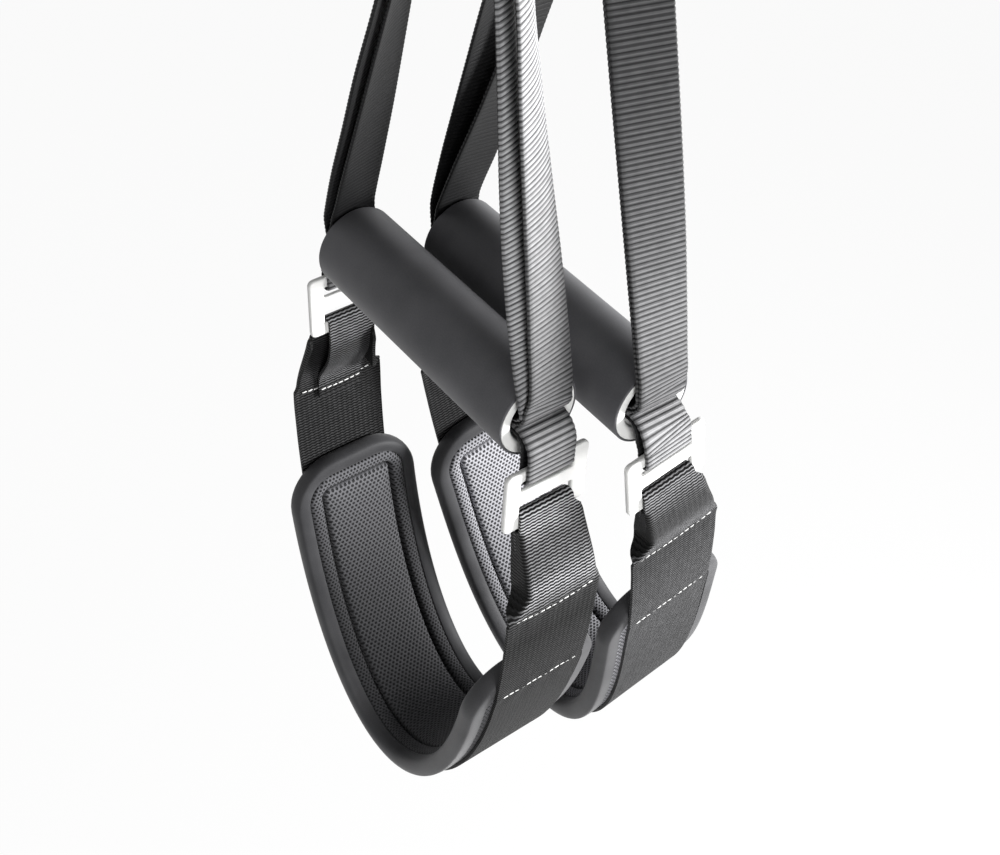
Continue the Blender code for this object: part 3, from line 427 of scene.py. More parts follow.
def tangentCorner(side, knee, barX, barZ, radius):
    # Where the straps' two straight runs would meet above the bar that they wrap
    lines = []
    for sign in (1, -1):
        point = np.array([sign * side, knee])
        toBar = np.array([barX, barZ]) - point
        reach = np.linalg.norm(toBar)
        turn = sign * math.asin(radius / reach)
        x, z = toBar / reach
        cosine, sine = math.cos(turn), math.sin(turn)
        lines.append((point, np.array([x * cosine + z * sine, z * cosine - x * sine])))
    (first, along), (second, across) = lines
    return first + along * np.linalg.solve(np.column_stack([along, -across]), second - first)[0]


def bandSection(halfWidth, halfThick, flat=13, edge=5):
    # Round-edged strap section: distances across and through it, in order round the edge
    r = halfThick
    straight = halfWidth - r
    y = np.linspace(-straight, straight, flat)
    turn = np.linspace(math.pi / 2, -math.pi / 2, edge + 2)[1:-1]
    across = np.concatenate([y, straight + r * np.cos(turn), y[::-1], -straight - r * np.cos(turn)])
    deep = np.concatenate([np.full(flat, r), r * np.sin(turn), np.full(flat, -r), -r * np.sin(turn)])
    return across, deep


# One rib: the power of its sine, the share of it below the face, the width of the selvedge where ribs fade to
# "edgeLift" and how far they scallop it, and the painted highlight: how closely it keeps to the crowns, and
# how much of it the selvedge has
ribForm = {"power": 0.75, "sunk": 0.55, "selvedge": 0.0016, "edgeLift": 0.25, "scallop": 0.6,
           "crownPower": 1.6, "edgeCrest": 0.4}


def strapSurface(name, path, width, length, section, ribs, look, cup=0.0, paintedLightLevel=1.0):
    # A section carried along a closed 3-D path. Its face is lifted by ribs: height times a power of the
    # sine's size, full on the outer face and ribs["inside"] of it on the face inside the loop.
    form = ribForm
    along = unit(np.roll(path, -1, 0) - np.roll(path, 1, 0))
    width = unit(width - along * np.sum(width * along, 1)[:, None])
    normal = np.cross(along, width)
    across, deep = section
    half = across.max()
    place = np.arange(len(path)) * length / len(path)
    count = round(length / ribs["pitch"])
    wave = np.abs(np.sin(math.pi * count * place / length)) ** form["power"]
    near = smoothStep(half - np.abs(across), 0, form["selvedge"])  # 1 on the face, 0 at the selvedge
    face = np.where(deep > 0, ribs["inside"], 1.0)
    rise = ribs["height"] * (wave[:, None] - form["sunk"])
    lift = rise * (face * (form["edgeLift"] + (1 - form["edgeLift"]) * near))
    bend = np.asarray(cup).reshape(-1, 1) * (across / half) ** 2
    depth = deep + np.sign(deep) * lift * (np.abs(deep) / np.abs(deep).max()) + bend
    wide = across + np.sign(across) * form["scallop"] * rise * (1 - near)
    points = path[:, None] + width[:, None] * wide[:, :, None] + normal[:, None] * depth[:, :, None]
    quads, flat = gridQuads(len(path), len(across), True, True)
    uv = np.stack([flat[:, :, 0] * length / len(path), across[flat[:, :, 1] % len(across)]], -1)
    # Painted highlight on the ribs' crowns, scaled by the strap's painted light and shade; the face inside
    # the loop keeps little of it, which is painted shade
    share = np.where(deep > 0, ribs["insidePaintedShade"], 1.0)
    share = share * (form["edgeCrest"] + (1 - form["edgeCrest"]) * near)
    paintedLight = (paintedLightLevel * wave ** form["crownPower"])[:, None] * share
    return buildMesh(name, points, quads, look, uv, paintedLight, 70)


# How each layer of each leg leaves the CAD's line, by height above the grip's axis in mm: "turn" is its
# direction across in plan, in degrees, "shift" slides it across, "gap" moves it into the loop and "cup" curls
# its edges that way, in mm. The last table, how pale its ribs' crowns are, is painted light and shade: paler
# where more light falls and darker where less does.
loopHeights = [8, 17, 45, 75, 105, 140, 180, 235, 290]
# Painted shade on the far legs' rib crowns, darkest at mid height
farPaintedShade = [0.9, 0.9, 0.8, 0.5, 0.35, 0.3, 0.3, 0.5, 1]
loopLay = {
    ("left", "near", "outer"): {
        "turn": [90, 97, 105, 112, 119, 126, 132, 109, 90],
        "shift": [0, 0.6, 0.8, 0.1, -1.7, -4.7, -8.4, -3.4, 0],
        "gap": [0, 0, -0.3, -0.6, -0.8, -0.9, -0.9, -0.4, 0],
        "cup": [0, 0, 0.5, 1.0, 1.3, 1.5, 1.5, 0.6, 0],
        "paintedLightLevel": [0.7, 0.7, 0.9, 1.2, 1.6, 2.2, 2.6, 1.6, 1]},
    ("left", "near", "inner"): {
        "turn": [90, 93, 98, 107, 117, 126, 130, 108, 90],
        "shift": [0, -2.2, -3.5, -3.9, -3.9, -3.8, -3.9, -1.6, 0],
        "gap": [0, 0.5, 2.0, 3.5, 4.5, 5.0, 4.7, 2.0, 0],
        "cup": [0, 0, 1.0, 1.8, 2.2, 2.2, 2.2, 1.0, 0],
        "paintedLightLevel": [1.5, 1.6, 2.4, 2.8, 3, 3, 3, 2, 1]},
    ("left", "far", "outer"): {
        "turn": [90, 95, 101, 110, 117, 127, 134, 111, 90],
        "shift": [0, -1.6, -3.2, -4.2, -5.4, -6.3, -7.2, -2.9, 0],
        "paintedLightLevel": farPaintedShade},
    ("left", "far", "inner"): {
        "turn": [90, 96, 102, 108, 115, 123, 131, 109, 90],
        "shift": [0, 0.5, 0.9, 1.4, 1.9, 2.2, 2.5, 1.0, 0],
        "gap": [0, 0.3, 0.6, 0.8, 1.0, 1.6, 2.2, 1.2, 0],
        "cup": [0, 0, 0.4, 0.8, 1.0, 1.0, 0.8, 0.3, 0],
        "paintedLightLevel": farPaintedShade},
    ("right", "near", "outer"): {
        "turn": [90, 88, 82, 74, 68, 64, 63, 78, 90],
        "shift": [0, -0.9, -1.2, -1.4, -1.9, -2.6, -3.2, -1.3, 0],
        "paintedLightLevel": [0.75, 0.85, 1.05, 0.85, 0.65, 0.45, 0.4, 0.7, 1]},
    ("right", "near", "inner"): {
        "turn": [90, 88, 82, 74, 68, 64, 63, 78, 90],
        "shift": [0, -0.6, -0.8, -0.9, -1.3, -2.0, -2.6, -1.0, 0],
        "gap": [0, 0.3, 0.4, 0.5, 0.5, 0.5, 0.5, 0.3, 0]},
    ("right", "far", "outer"): {
        "turn": [90, 84, 82, 88, 101, 120, 137, 111, 90],
        "shift": [0, 0.1, 0.9, 2.1, 2.3, 0.6, -0.8, -0.3, 0]},
    ("right", "far", "inner"): {
        "turn": [90, 92, 93, 99, 103, 104, 104, 97, 90],
        "shift": [0, 0.3, 3.2, 8.9, 16.0, 22.0, 22.5, 13.5, 2.5],
        "gap": [0, 0.5, 3.0, 4.5, 5.0, 6.0, 6.5, 4.0, 0.5],
        "cup": [0, 0, 0.3, 0.5, 0.6, 0.6, 0.6, 0.2, 0]},
}
loopSize = {"width": 0.025, "thick": 0.0016, "pitch": 0.00195, "standOff": 0.0715, "knee": 0.018925,
            "bend": 0.006, "kneeRadius": 0.020, "barZ": 0.302, "turnRadius": 0.0051,
            "free": ((8, 12), (280, 292))}
# On the face inside the loop, the ribs' crowns keep only a little of their painted highlight: painted shade
loopRibs = {"pitch": 0.0022, "height": 0.00050, "inside": 0.3, "insidePaintedShade": 0.03}


def makeLoop(side, layer):
    # One layer of a loop: through the tube, up both legs and over the hanger's bar. It leaves the CAD's line
    # only between the heights that loopSize["free"] gives in mm.
    s = loopSize
    barX = sets[side]["barX"]
    out = s["pitch"] if layer == "outer" else 0.0
    low = s["pitch"] / 2 + (s["pitch"] - out)
    reach = s["standOff"] + out
    peak = tangentCorner(reach, s["knee"], barX, s["barZ"], s["turnRadius"] + out)
    path, length = roundedPath([
        (reach, low, s["bend"] + out), (reach, s["knee"], s["kneeRadius"]), (*peak, s["turnRadius"] + out),
        (-reach, s["knee"], s["kneeRadius"]), (-reach, low, s["bend"] + out)])
    height = path[:, 1] / mm
    isNear = path[:, 0] > barX
    grows, fades = s["free"]
    onLeg = smoothStep(height, *grows) * (1 - smoothStep(height, *fades))

    def onBothLegs(key, level):
        tables = [loopLay[side, leg, layer].get(key, [level] * len(loopHeights)) for leg in ("near", "far")]
        return np.where(isNear, *(through(height, loopHeights, table) for table in tables))

    turn, shift, gap, cup = (onLeg * onBothLegs(key, 0) for key in ("turn", "shift", "gap", "cup"))
    # Painted light and shade on the ribs' crowns, by height
    paintedLightLevel = onBothLegs("paintedLightLevel", 1)
    turn = np.radians(turn + 90 * (1 - onLeg))
    width = np.stack([np.cos(turn), np.sin(turn), 0 * turn], -1)
    inward = np.stack([-np.sin(turn), np.cos(turn), 0 * turn], -1) * np.where(isNear, 1, -1)[:, None]
    points = np.stack([path[:, 0], 0 * height, path[:, 1]], -1)
    points = hang(points + (width * shift[:, None] + inward * gap[:, None]) * mm, side, 0.0)
    section = bandSection(s["width"] / 2, s["thick"] / 2)
    piece = strapSurface(f"{side}{layer.title()}Strap", points, width, length, section, loopRibs,
                         "ribbedWebbing", cup * mm, paintedLightLevel)
    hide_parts(f"{side}_{layer}_loop_strap")
    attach(piece, f"{side}_loop")


# The last entry is painted light on the link's rib crowns, more on the right set than on the left
link = {"width": 0.025, "thick": 0.0016, "plate": 0.0765, "wrap": 0.0025, "bend": 0.006, "foot": 0.0257,
        "hinge": (0.003725, 0.016), "fine": 0.00032, "paintedLightLevel": {"left": 1.15, "right": 1.6}}
# The same painted shade on the face inside the link's loop
linkRibs = {"pitch": 0.0027, "height": 0.00055, "inside": 0.3, "insidePaintedShade": 0.03}


def makeLink(side):
    # The short closed strap below the loop's layers in the tube. Its ends turn with the cradle, and the
    # "hinge" is where they start to and where they do so fully, below the grip's axis.
    inner, outer = link["plate"] - link["wrap"], link["plate"] + link["wrap"]
    high, low = -loopSize["pitch"] / 2, -1.5 * loopSize["pitch"]
    wide = outer - grip["half"]
    foot, bend = -link["foot"], link["bend"]
    wrap = link["wrap"] * 0.999  # a hair under half the strap's gap, so that the two arcs don't run together
    path, length = roundedPath([
        (inner, low, bend), (inner, foot, wrap), (outer, foot, wrap), (outer, high, wide),
        (-outer, high, wide), (-outer, foot, wrap), (-inner, foot, wrap), (-inner, low, bend)], link["fine"])
    turn = math.radians(sets[side]["swing"]) * smoothStep(-path[:, 1], *link["hinge"])
    points = hang(np.stack([path[:, 0], 0 * turn, path[:, 1]], -1), side, turn)
    width = np.stack([0 * turn, np.cos(turn), np.sin(turn)], -1)
    section = bandSection(link["width"] / 2, link["thick"] / 2, 11, 4)
    piece = strapSurface(f"{side}LinkStrap", points, width, length, section, linkRibs, "ribbedWebbing",
                         paintedLightLevel=link["paintedLightLevel"][side])
    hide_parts(f"{side}_link_strap")
    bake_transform(piece)


buckle = {"width": 0.0435, "top": 0.018, "bottom": 0.052, "corner": 0.003, "thick": 0.0028, "edge": 0.0009,
          "slotHalf": 0.014, "slots": ((0.024, 0.030), (0.038, 0.045)), "slotCorner": 0.001}


def makeBuckle(side, word, way):
    # A filled outline with two slots. Its rounded edge is a bevel of the outline.
    b = buckle
    curve = bpy.data.curves.new("plate", "CURVE")
    curve.dimensions = "2D"
    curve.fill_mode = "BOTH"
    curve.extrude = b["thick"] / 2 - b["edge"]
    curve.bevel_depth = b["edge"]
    curve.bevel_resolution = 4
    curve.offset = -b["edge"]
    outlines = [(b["width"] / 2, b["top"], b["bottom"], b["corner"])]
    outlines += [(b["slotHalf"], top, bottom, b["slotCorner"]) for top, bottom in b["slots"]]
    for order, (half, top, bottom, corner) in enumerate(outlines):
        turn = np.radians(np.linspace(0, 90, 9))
        quarter = np.stack([half - corner + corner * np.cos(turn), corner * np.sin(turn)], -1)
        upper = np.concatenate([quarter, quarter[::-1] * [-1, 1]]) + [0, -top - corner]
        lower = np.concatenate([-quarter, quarter[::-1] * [1, -1]]) + [0, -bottom + corner]
        outline = np.concatenate([upper, lower])
        outline = outline if order == 0 else outline[::-1]
        spline = curve.splines.new("POLY")
        spline.points.add(len(outline) - 1)
        level = 0 * outline[:, 0]
        spline.points.foreach_set("co", np.column_stack([outline, level, level + 1]).ravel())
        spline.use_cyclic_u = True
    holder = addObject("plate", curve)
    bpy.context.view_layer.update()
    mesh = bpy.data.meshes.new_from_object(holder.evaluated_get(bpy.context.evaluated_depsgraph_get()))
    bpy.data.objects.remove(holder, do_unlink=True)
    shape = bmesh.new()
    shape.from_mesh(mesh)
    bmesh.ops.remove_doubles(shape, verts=shape.verts, dist=0.000003)
    bmesh.ops.recalc_face_normals(shape, faces=shape.faces)
    shape.to_mesh(mesh)
    shape.free()
    flat = np.empty(len(mesh.vertices) * 3, np.float32)
    mesh.vertices.foreach_get("co", flat)
    flat = flat.reshape(-1, 3)
    # The outline's across, up and thickness become Y, Z and X, which keeps the faces outwards.
    points = hang(np.stack([way * link["plate"] + flat[:, 2], flat[:, 0], flat[:, 1]], -1), side)
    mesh.vertices.foreach_set("co", points.astype(np.float32).ravel())
    piece = addPiece(f"{side}{word.title()}Buckle", mesh, "whiteNylon", 30)
    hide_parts(f"{side}_{word}_buckle")
    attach(piece, f"{side}_cradle")


# Depths are below the grip's axis. The two lengths of "sewnClose" are how far below the buckle the sewn end
# starts to close up to the strip, and how far above its own edge it has.
cradle = {"half": 0.0897, "depth": 0.2942, "widest": 0.098, "wrapDepth": 0.0458, "wrap": 0.0025,
          "plateBottom": 0.052, "thick": 0.0016, "channelHalf": 0.013, "flap": 0.012, "stub": 0.0006,
          "foldBend": 0.0024, "overFold": 0.3, "sewnHalf": 0.01185, "sewnEnd": 0.104, "sewnApart": 0.00195,
          "rowStep": 0.0009, "barSteps": 17, "barGap": 0.0005, "sewnGap": 0.0003,
          "sewnClose": (0.001, 0.010), "stitchTop": 0.097, "stitchLow": 0.158}


def makeLine():
    # Centre line of the cradle's webbing, as in the CAD: an eased run from the buckle, then half an ellipse.
    # Also its outward normals, the length along it and how many of its points lie on the front side.
    c = cradle
    drop = np.linspace(0, 1, 401)
    ease = 3 * drop**2 - 2 * drop**3
    turn = np.linspace(0, math.pi / 2, 1201)[1:]
    start = link["plate"] + c["wrap"]
    x = np.concatenate([start + (c["half"] - start) * ease, c["half"] * np.cos(turn)])
    z = np.concatenate([-c["wrapDepth"] - (c["widest"] - c["wrapDepth"]) * drop,
                        -c["widest"] - (c["depth"] - c["widest"]) * np.sin(turn)])
    line = np.stack([np.concatenate([x, -x[-2::-1]]), np.concatenate([z, z[-2::-1]])], -1)
    along = unit(np.gradient(line, axis=0))
    return line, np.stack([along[:, 1], -along[:, 0]], -1), runLength(line), len(x)


line, lineNormal, lineLength, halfCount = makeLine()
lineTotal = lineLength[-1]


def onLine(length):  # points and outward normals at lengths along the centre line
    return atLength(length, lineLength, line), unit(atLength(length, lineLength, lineNormal))


def lengthAtDepth(depth):
    return np.interp(depth, -line[:halfCount, 1], lineLength[:halfCount])


# The tones are painted light and shade: how pale the mesh is, 1 as it comes, at depths in mm below the
# grip's axis, darker low in the left cradle where less light falls, and paler in the right one.
pad = {"top": 0.143, "offset": 0.0011, "half": 0.0381, "corner": 0.028, "leastCorner": 0.0012, "tighten": 1.4,
       "sideSteps": 90, "cornerSteps": 12,
       "paintedTones": {"left": ([145, 165, 190, 230, 260, 300], [1.4, 0.9, 0.66, 0.44, 0.45, 0.7]),
                 "right": ([145, 190, 230, 300], [3.4, 3.3, 2.4, 1.1])}}
padStart = lengthAtDepth(pad["top"])
padLength = lineTotal - 2 * padStart


def padRing(edge, depth):
    # Points and UV of one ring of the pad, a distance in from its edge and a depth in from its outer face
    half = pad["half"] - edge
    corner = max(pad["corner"] - pad["tighten"] * edge, pad["leastCorner"])
    turn = np.linspace(math.pi / 2, 0, pad["cornerSteps"])
    cornerS = edge + corner - corner * np.sin(turn)
    cornerY = half - corner + corner * np.cos(turn)
    sideS = np.linspace(cornerS[-1], padLength / 2, pad["sideSteps"] + 1)[1:]
    halfS = np.concatenate([cornerS, sideS])
    halfY = np.concatenate([cornerY, np.full(pad["sideSteps"], half)])
    s = np.concatenate([halfS, padLength - halfS[-2::-1]])
    y = np.concatenate([halfY, halfY[-2::-1]])
    s, y = np.concatenate([s, s[::-1]]), np.concatenate([y, -y[::-1]])
    place, normal = onLine(padStart + s)
    place = place + normal * (pad["offset"] + depth)
    return np.stack([place[:, 0], y, place[:, 1]], -1), np.stack([s, y], -1)


def padPiece(name, side, profile, look, joined):
    # A surface through the rings of a profile, joined end to end or closed by a face at each end
    points, uv = map(np.array, zip(*(padRing(edge, depth) for edge, depth in profile)))
    rows, columns = points.shape[:2]
    quads = gridQuads(rows, columns, True, True)[0] if joined else tubeQuads(rows, columns)
    # Painted light and shade on the pad's mesh, by depth
    paintedLight = through(-points[..., 2] / mm, *pad["paintedTones"][side])
    return buildMesh(name, hang(points, side), quads, look, uv.reshape(-1, 2)[quads], paintedLight, 60)


def roundProfile(points):
    # More points along a profile, with its corners cut twice into curves
    points = np.array(points)
    for _ in range(2):
        cut = np.stack([points[:-1] * 0.75 + points[1:] * 0.25, points[:-1] * 0.25 + points[1:] * 0.75], 1)
        points = np.vstack([points[:1], cut.reshape(-1, 2), points[-1:]])
    return points


# Profiles of the pad's pieces: distance in from the edge and depth in from the outer face
padCore = [(0.0163, 0.0), (0.0088, 0.0), (0.0088, 0.0015), (0.0035, 0.0015), (0.0015, 0.0035),
           (0.0015, 0.0065), (0.0035, 0.0085), (0.0088, 0.0085), (0.0088, 0.0096), (0.0100, 0.0108),
           (0.0125, 0.0114), (0.0150, 0.0108), (0.0160, 0.0098), (0.0163, 0.0060)]
padBinding = [(0.0086, 0.0), (0.0030, 0.0), (0.0009, 0.0010), (0.0, 0.0050), (0.0009, 0.0092),
              (0.0030, 0.0104), (0.0060, 0.0106), (0.0083, 0.0100), (0.0086, 0.0094), (0.0084, 0.0088),
              (0.0030, 0.0088), (0.0012, 0.0070), (0.0012, 0.0030), (0.0030, 0.0012), (0.0086, 0.0012)]
padLiner = [(0.0188, 0.0063), (0.0178, 0.0072), (0.0179, 0.0094), (0.0190, 0.0105), (0.0215, 0.0112),
            (0.0255, 0.0117), (0.0300, 0.0119), (0.0330, 0.0120)]


def makePad(side):
    core = padPiece(f"{side}PadRidge", side, roundProfile(padCore), "padFace", False)
    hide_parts(f"{side}_cradle_pad")
    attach(core, f"{side}_cradle")
    ring = padBinding + padBinding[:1]
    binding = padPiece(f"{side}PadBinding", side, roundProfile(ring)[:-1], "neoprene", True)
    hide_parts(f"{side}_edge_binding")
    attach(binding, f"{side}_cradle")
    liner = padPiece(f"{side}PadPanel", side, roundProfile(padLiner), "airMesh", False)
    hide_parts(f"{side}_pad_liner")
    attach(liner, f"{side}_cradle")


def cradleSection(middle, flap, fold, counts=(9, 4, 7)):
    # Folded strip: a flat middle, and on each side a rounded fold and a flap. Angles and lengths add up from
    # the middle to each edge, first on the -Y side. Half of the fold's length comes off each neighbour.
    flat, bend, free = counts
    foldBend = cradle["foldBend"]
    least = 0.0002  # a flap never shrinks to nothing, which would leave faces without area
    halves = []
    for k in (0, 1):
        lengths = np.hstack([np.outer(middle[:, k] - foldBend / 2, np.ones(flat) / flat),
                             np.full((len(fold), bend), foldBend / bend),
                             np.outer(np.maximum(flap[:, k] - foldBend / 2, least), np.ones(free) / free)])
        angles = np.hstack([np.zeros((len(fold), flat)), np.outer(fold[:, k], (np.arange(bend) + 0.5) / bend),
                            np.outer(fold[:, k], np.ones(free))])
        halves.append((np.cumsum(lengths * np.cos(angles), 1), np.cumsum(lengths * np.sin(angles), 1), angles,
                       np.cumsum(lengths, 1)))
    zero = np.zeros((len(fold), 1))
    (lowY, lowD, lowA, lowC), (highY, highD, highA, highC) = halves
    across = np.hstack([-lowY[:, ::-1], zero, highY])
    deep = np.hstack([lowD[:, ::-1], zero, highD])
    slope = np.hstack([-lowA[:, ::-1], highA])
    ends = np.hstack([slope[:, :1], (slope[:, 1:] + slope[:, :-1]) / 2, slope[:, -1:]])
    return across, deep, ends, np.hstack([-lowC[:, ::-1], zero, highC])


# Each side's folds, first the -Y one: the depths in mm between which its line runs out from the channel to
# the edge. A start above the buckle leaves a strip that is spread there already.
foldRuns = {"front": ((87, 99), (0, 98)), "back": ((-40, 97), (84, 98))}
# In mm below the buckle's lower edge, from where to where the strip spreads, its flaps widen, and its folds
# turn down, lose their over-fold and open
foldSteps = {"spread": (-6, 5), "widen": (0.5, 8), "turn": (0, 4), "ease": (6, 34), "open": (38, 46)}
# Soft wrinkles below each row of stitches, which sway along the strap
wrinkles = {"height": 0.00045, "fadeBelow": 0.016, "fadeAbove": 0.004, "pitch": (0.0115, 0.0145),
            "sway": 0.35, "swayRun": 0.007}
# Painted light and shade on the ribs, how pale they are: all over, more where they bend round the bar and
# just above the stitches, which is painted highlight, and less on the flaps and, on the outer face, below the
# stitches, which is painted shade
webRibPaintedLight = {"plain": 0.85, "bar": 1.6, "barEnds": (0.050, 0.066), "row": 1.2, "rowDepth": 0.088,
            "rowRun": 0.008, "smooth": (0.095, 0.099), "flap": 0.97, "flapAngle": 1.1, "outer": 1.45,
            "outerLoss": 0.95, "inner": 0.48, "innerGain": 0.16}


def shareOfRun(depth, start, end):  # 0 to 1 between two depths, straight but eased at its ends
    share = np.clip((depth - start) / (end - start), 0, 1)
    return 0.6 * share + 0.4 * share * share * (3 - 2 * share)


def cradleHalf(word):
    # One side of the strip, from its sewn end round the bar and down to the middle of the foot
    c = cradle
    t = c["thick"] / 2
    bottom = c["plateBottom"]
    run = np.arange(lengthAtDepth(c["wrapDepth"] + c["barGap"]), lineTotal / 2, c["rowStep"])
    place, normal = onLine(run)
    depth = -place[:, 1]
    done = {key: smoothStep(depth, bottom + start * mm, bottom + end * mm)
            for key, (start, end) in foldSteps.items()}
    spread = (c["flap"] - c["stub"]) * np.stack([shareOfRun(depth / mm, *ends) for ends in foldRuns[word]], 1)
    middle = c["channelHalf"] + spread * done["spread"][:, None]
    flap = c["stub"] + (c["flap"] - c["stub"] - spread) * done["widen"][:, None]
    fold = (0.5 * math.pi + c["overFold"] * (1 - done["ease"])) * (1 - done["open"]) * done["turn"]
    fold = np.stack([fold, fold], 1)
    sewn = np.arange(lengthAtDepth(c["sewnEnd"]), lengthAtDepth(c["wrapDepth"] + c["sewnGap"]), -c["rowStep"])
    sewnPlace, sewnNormal = onLine(sewn)
    near = smoothStep(-sewnPlace[:, 1], bottom + c["sewnClose"][0], c["sewnEnd"] - c["sewnClose"][1])
    straight = sewnPlace[:, 0] - link["plate"] + c["wrap"]
    apart = straight + (c["sewnApart"] - straight) * near
    sewnPlace = sewnPlace + sewnNormal * apart[:, None]
    around = np.linspace(math.pi, 0, c["barSteps"])
    outward = np.stack([np.cos(around), np.sin(around)], -1)
    wrapPlace = np.array([link["plate"], -c["wrapDepth"]]) + c["wrap"] * outward
    place = np.vstack([sewnPlace, wrapPlace, place])
    normal = np.vstack([-sewnNormal, -outward, normal])
    extra = len(sewn) + c["barSteps"]
    flap = np.concatenate([np.full((extra, 2), c["stub"]), flap])
    fold = np.concatenate([np.zeros((extra, 2)), fold])
    sewnWidth = c["sewnHalf"] - c["stub"]
    widths = np.concatenate([np.full(len(sewn), sewnWidth),
                             np.linspace(sewnWidth, c["channelHalf"], c["barSteps"])])
    middle = np.concatenate([np.stack([widths, widths], 1), middle])
    across, deep, slope, cloth = cradleSection(middle, flap, fold)
    ringY = np.hstack([across + t * np.sin(slope), (across - t * np.sin(slope))[:, ::-1]])
    ringD = np.hstack([deep - t * np.cos(slope), (deep + t * np.cos(slope))[:, ::-1]])
    ringV = np.hstack([cloth, cloth[:, ::-1]])
    w = wrinkles
    far = -place[:, 1:] - np.array([c["stitchTop"], c["stitchLow"]])
    fade = np.where(far > 0, np.exp(-far / w["fadeBelow"]), np.exp(far / w["fadeAbove"])) * w["height"]
    sway = w["sway"] * np.sin(far / w["swayRun"])
    waves = [0.5 + 0.5 * np.sin(2 * math.pi * (ringV / pitch + sway[:, k:k + 1]))
             for k, pitch in enumerate(w["pitch"])]
    isStrip = (np.arange(len(place)) >= extra)[:, None]
    ringD = ringD - isStrip * (fade[:, :1] * waves[0] + fade[:, 1:] * waves[1])
    p = webRibPaintedLight
    ringDepth = -place[:, 1]
    # Painted highlights at the bar and above the upper stitches; painted shade on the flaps and below the
    # stitches
    paintedTone = (p["plain"] + p["bar"] * (1 - smoothStep(ringDepth, *p["barEnds"]))
            + p["row"] * np.exp(-((ringDepth - p["rowDepth"]) / p["rowRun"]) ** 2))
    below = smoothStep(ringDepth, *p["smooth"])
    shade = 1 - p["flap"] * np.clip(np.abs(slope) / p["flapAngle"], 0, 1)
    paintedLight = np.hstack([shade * (paintedTone * (p["outer"] - p["outerLoss"] * below))[:, None],
                       shade[:, ::-1] * (paintedTone * p["inner"] + p["innerGain"] * below)[:, None]])
    points = np.stack([place[:, :1] + normal[:, :1] * ringD, ringY, place[:, 1:] + normal[:, 1:] * ringD], -1)
    return points, ringV, paintedLight


# Painted light and shade: each set's near end is paler or darker than that, at depths in mm, and the far end
# is darker all along.
webSetPaintedLight = {"left": ([40, 92, 99, 300], [1.35, 1.35, 0.9, 0.9]),
            "right": ([40, 92, 99, 300], [0.85, 0.85, 1.25, 1.25]), "farEnd": 0.65}


def makeCradleWebbing(side):
    # The two sides put together at the middle of the foot, with a face at each sewn end
    front, frontV, frontPaintedLight = cradleHalf("front")
    back, backV, backPaintedLight = cradleHalf("back")
    points = np.vstack([front, back[-2::-1] * [-1, 1, 1]])
    ringV = np.vstack([frontV, backV[-2::-1]])
    rows, columns = points.shape[:2]
    along = runLength(points[:, columns // 4])  # down the middle of the outer face
    quads = tubeQuads(rows, columns)
    uv = np.stack([np.broadcast_to(along[:, None], ringV.shape), ringV], -1).reshape(-1, 2)[quads]
    # Painted light and shade per set, and painted shade all along the far end
    frontPaintedLight = frontPaintedLight * through(-front[..., 2] / mm, *webSetPaintedLight[side])
    paintedLight = np.vstack([frontPaintedLight, webSetPaintedLight["farEnd"] * backPaintedLight[-2::-1]])
    piece = buildMesh(f"{side}CradleWebbing", hang(points, side), quads, "flatWebbing", uv, paintedLight, 60)
    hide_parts(f"{side}_cradle_webbing")
    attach(piece, f"{side}_cradle")


# The upper row and the lower one: their depths, half widths and how far their middles sag
stitching = {"length": 0.0026, "gap": 0.0008, "radius": 0.00038, "proud": 0.0001, "rings": 7, "sides": 6,
             "lines": (cradle["stitchTop"], cradle["stitchLow"]), "half": (0.0225, 0.0225),
             "sag": (0.0022, 0.0)}


def makeStitches(side):
    # Every stitch is a small capsule: rings of points whose radius is a root of the sine along the thread
    s = stitching
    places = []
    for depth, half, sag in zip(s["lines"], s["half"], s["sag"]):
        count = int(2 * half / (s["length"] + s["gap"]))
        y = (np.arange(count) - (count - 1) / 2) * (s["length"] + s["gap"])
        place, normal = onLine(lengthAtDepth(depth + sag * (1 - (y / half) ** 2)))
        outside = np.full(count, -cradle["thick"] / 2 - s["proud"])
        # Inside, the row goes over the sewn end, and the pad hides the lower row
        overEnd = np.where(np.abs(y) < cradle["sewnHalf"], cradle["sewnApart"], 0)
        inside = cradle["thick"] / 2 + s["proud"] + overEnd
        for way in (1, -1):
            for face in (outside, inside) if depth < pad["top"] else (outside,):
                out = place + normal * face[:, None]
                places.append(np.stack([way * out[:, 0], y, out[:, 1]], -1))
    places = np.vstack(places)
    rings, sides = s["rings"], s["sides"]
    t = np.linspace(0, math.pi, rings)
    along = -np.cos(t) * s["length"] / 2
    radius = s["radius"] * np.sin(np.clip(t, 0.25, math.pi - 0.25)) ** 0.5
    turn = np.linspace(0, 2 * math.pi, sides, endpoint=False)
    one = np.stack([radius[:, None] * np.cos(turn), np.broadcast_to(along[:, None], (rings, sides)),
                    radius[:, None] * np.sin(turn)], -1).reshape(-1, 3)
    points = places[:, None] + one
    quads = (tubeQuads(rings, sides) + np.arange(len(places))[:, None, None] * len(one)).reshape(-1, 4)
    piece = buildMesh(f"{side}CradleStitching", hang(points, side), quads, "thread", sharp=80)
    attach(piece, f"{side}_cradle")


for side in ("left", "right"):
    makeGrip(side)
    makeLoop(side, "outer")
    makeLoop(side, "inner")
    makeLink(side)
    makeBuckle(side, "front", 1)
    makeBuckle(side, "back", -1)
    makeCradleWebbing(side)
    makeStitches(side)
    makePad(side)
    print(side, "set made")

# The CAD's nodes that stay as they are
kept = {"steel": ("carabiner_body", "carabiner_gate", "gate_pin", "gate_spring", "hanger_ring"),
        "greyTube": ("left_grip_tube", "right_grip_tube")}
for look, names in kept.items():
    for name in names:
        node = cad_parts[name]
        node.data.materials.clear()
        node.data.materials.append(looks[look])

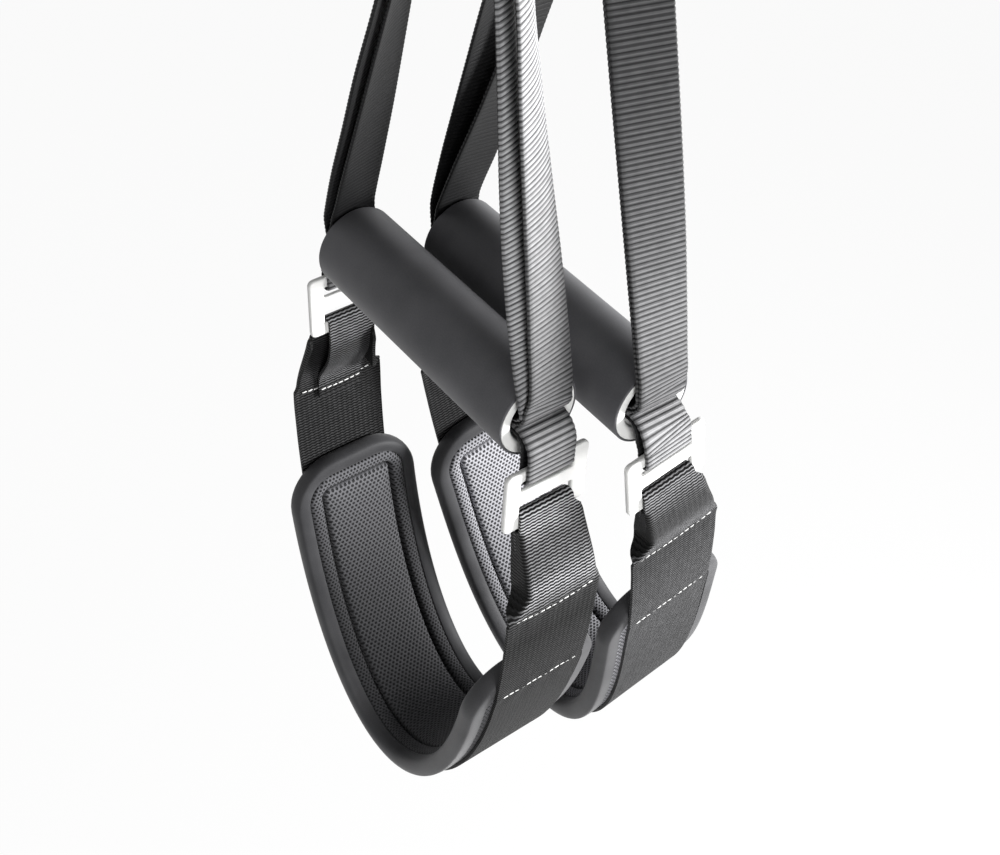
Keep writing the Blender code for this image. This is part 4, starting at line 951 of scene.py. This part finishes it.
# A pale floor well below the part, and a white surround that only the camera and reflections see
studio = {"floorDrop": -1.05, "floorHalf": 6, "glow": 0.94, "surround": 0.13, "aim": (0.0, 0.0, -0.46)}
# Each lamp's direction, its distance and size in metres and its power in watts
lamps = {"keyBox": {"from": (0.60, 0.78, 0.07), "distance": 0.80, "size": 0.35, "power": 16.0},
         "fillBox": {"from": (0.93, -0.28, 0.12), "distance": 1.2, "size": 0.7, "power": 9.0},
         "topBox": {"from": (-0.1, -0.35, 0.9), "distance": 1.2, "size": 0.7, "power": 0.8}}
floorMesh = bpy.data.meshes.new("studioFloor")
half, drop = studio["floorHalf"], studio["floorDrop"]
floorMesh.from_pydata([(-half, -half, drop), (half, -half, drop), (half, half, drop), (-half, half, drop)],
                      [], [(0, 1, 2, 3)])
floor = addObject("studioFloor", floorMesh)


def seenBy(tree, *rays):  # 1 for these kinds of ray, 0 for the others
    path = addNode(tree, "LightPath")
    seen = path.outputs[rays[0]]
    for ray in rays[1:]:
        seen = addNode(tree, "Math", links={0: seen, 1: path.outputs[ray]}, operation="MAXIMUM")
    return seen


paper, tree, shader = newMaterial("pale studio paper", {"roughness": 0.9, "colour": "#f4f4f4"})
seen = seenBy(tree, "Is Camera Ray", "Is Glossy Ray")
seen = addNode(tree, "Math", {1: studio["glow"]}, {0: seen}, operation="MULTIPLY")
glow = addNode(tree, "Emission", {"Color": (1, 1, 1, 1), "Strength": 1.0})
blend = addNode(tree, "MixShader", links={0: seen, 1: shader, 2: glow})
tree.links.new(blend.outputs[0], tree.nodes["Material Output"].inputs["Surface"])
floorMesh.materials.append(paper)

world = bpy.data.worlds.new("studio")
bpy.context.scene.world = world
world.use_nodes = True
tree = world.node_tree
seen = seenBy(tree, "Is Camera Ray", "Is Glossy Ray", "Is Transmission Ray")
strength = addNode(tree, "MapRange", {3: studio["surround"], 4: 1.0}, {0: seen})
tree.links.new(strength.outputs[0], tree.nodes["Background"].inputs["Strength"])
tree.nodes["Background"].inputs["Color"].default_value = (1, 1, 1, 1)


def addLamp(name, box):
    # A soft box that faces the middle of the grips from a direction in the part's own axes
    aim = unit(np.array(box["from"]))
    spot = np.array(studio["aim"]) + aim * box["distance"]
    lamp = addObject(name, bpy.data.lights.new(name, "AREA"))
    lamp.data.shape = "DISK"
    lamp.data.size = box["size"]
    lamp.data.energy = box["power"]
    across = unit(np.cross([0, 0, 1.0], aim))
    lamp.matrix_world = facing(across, np.cross(aim, across), aim, spot)


for name, box in lamps.items():
    addLamp(name, box)
bpy.context.scene.view_settings.view_transform = "Standard"
print("studio set")
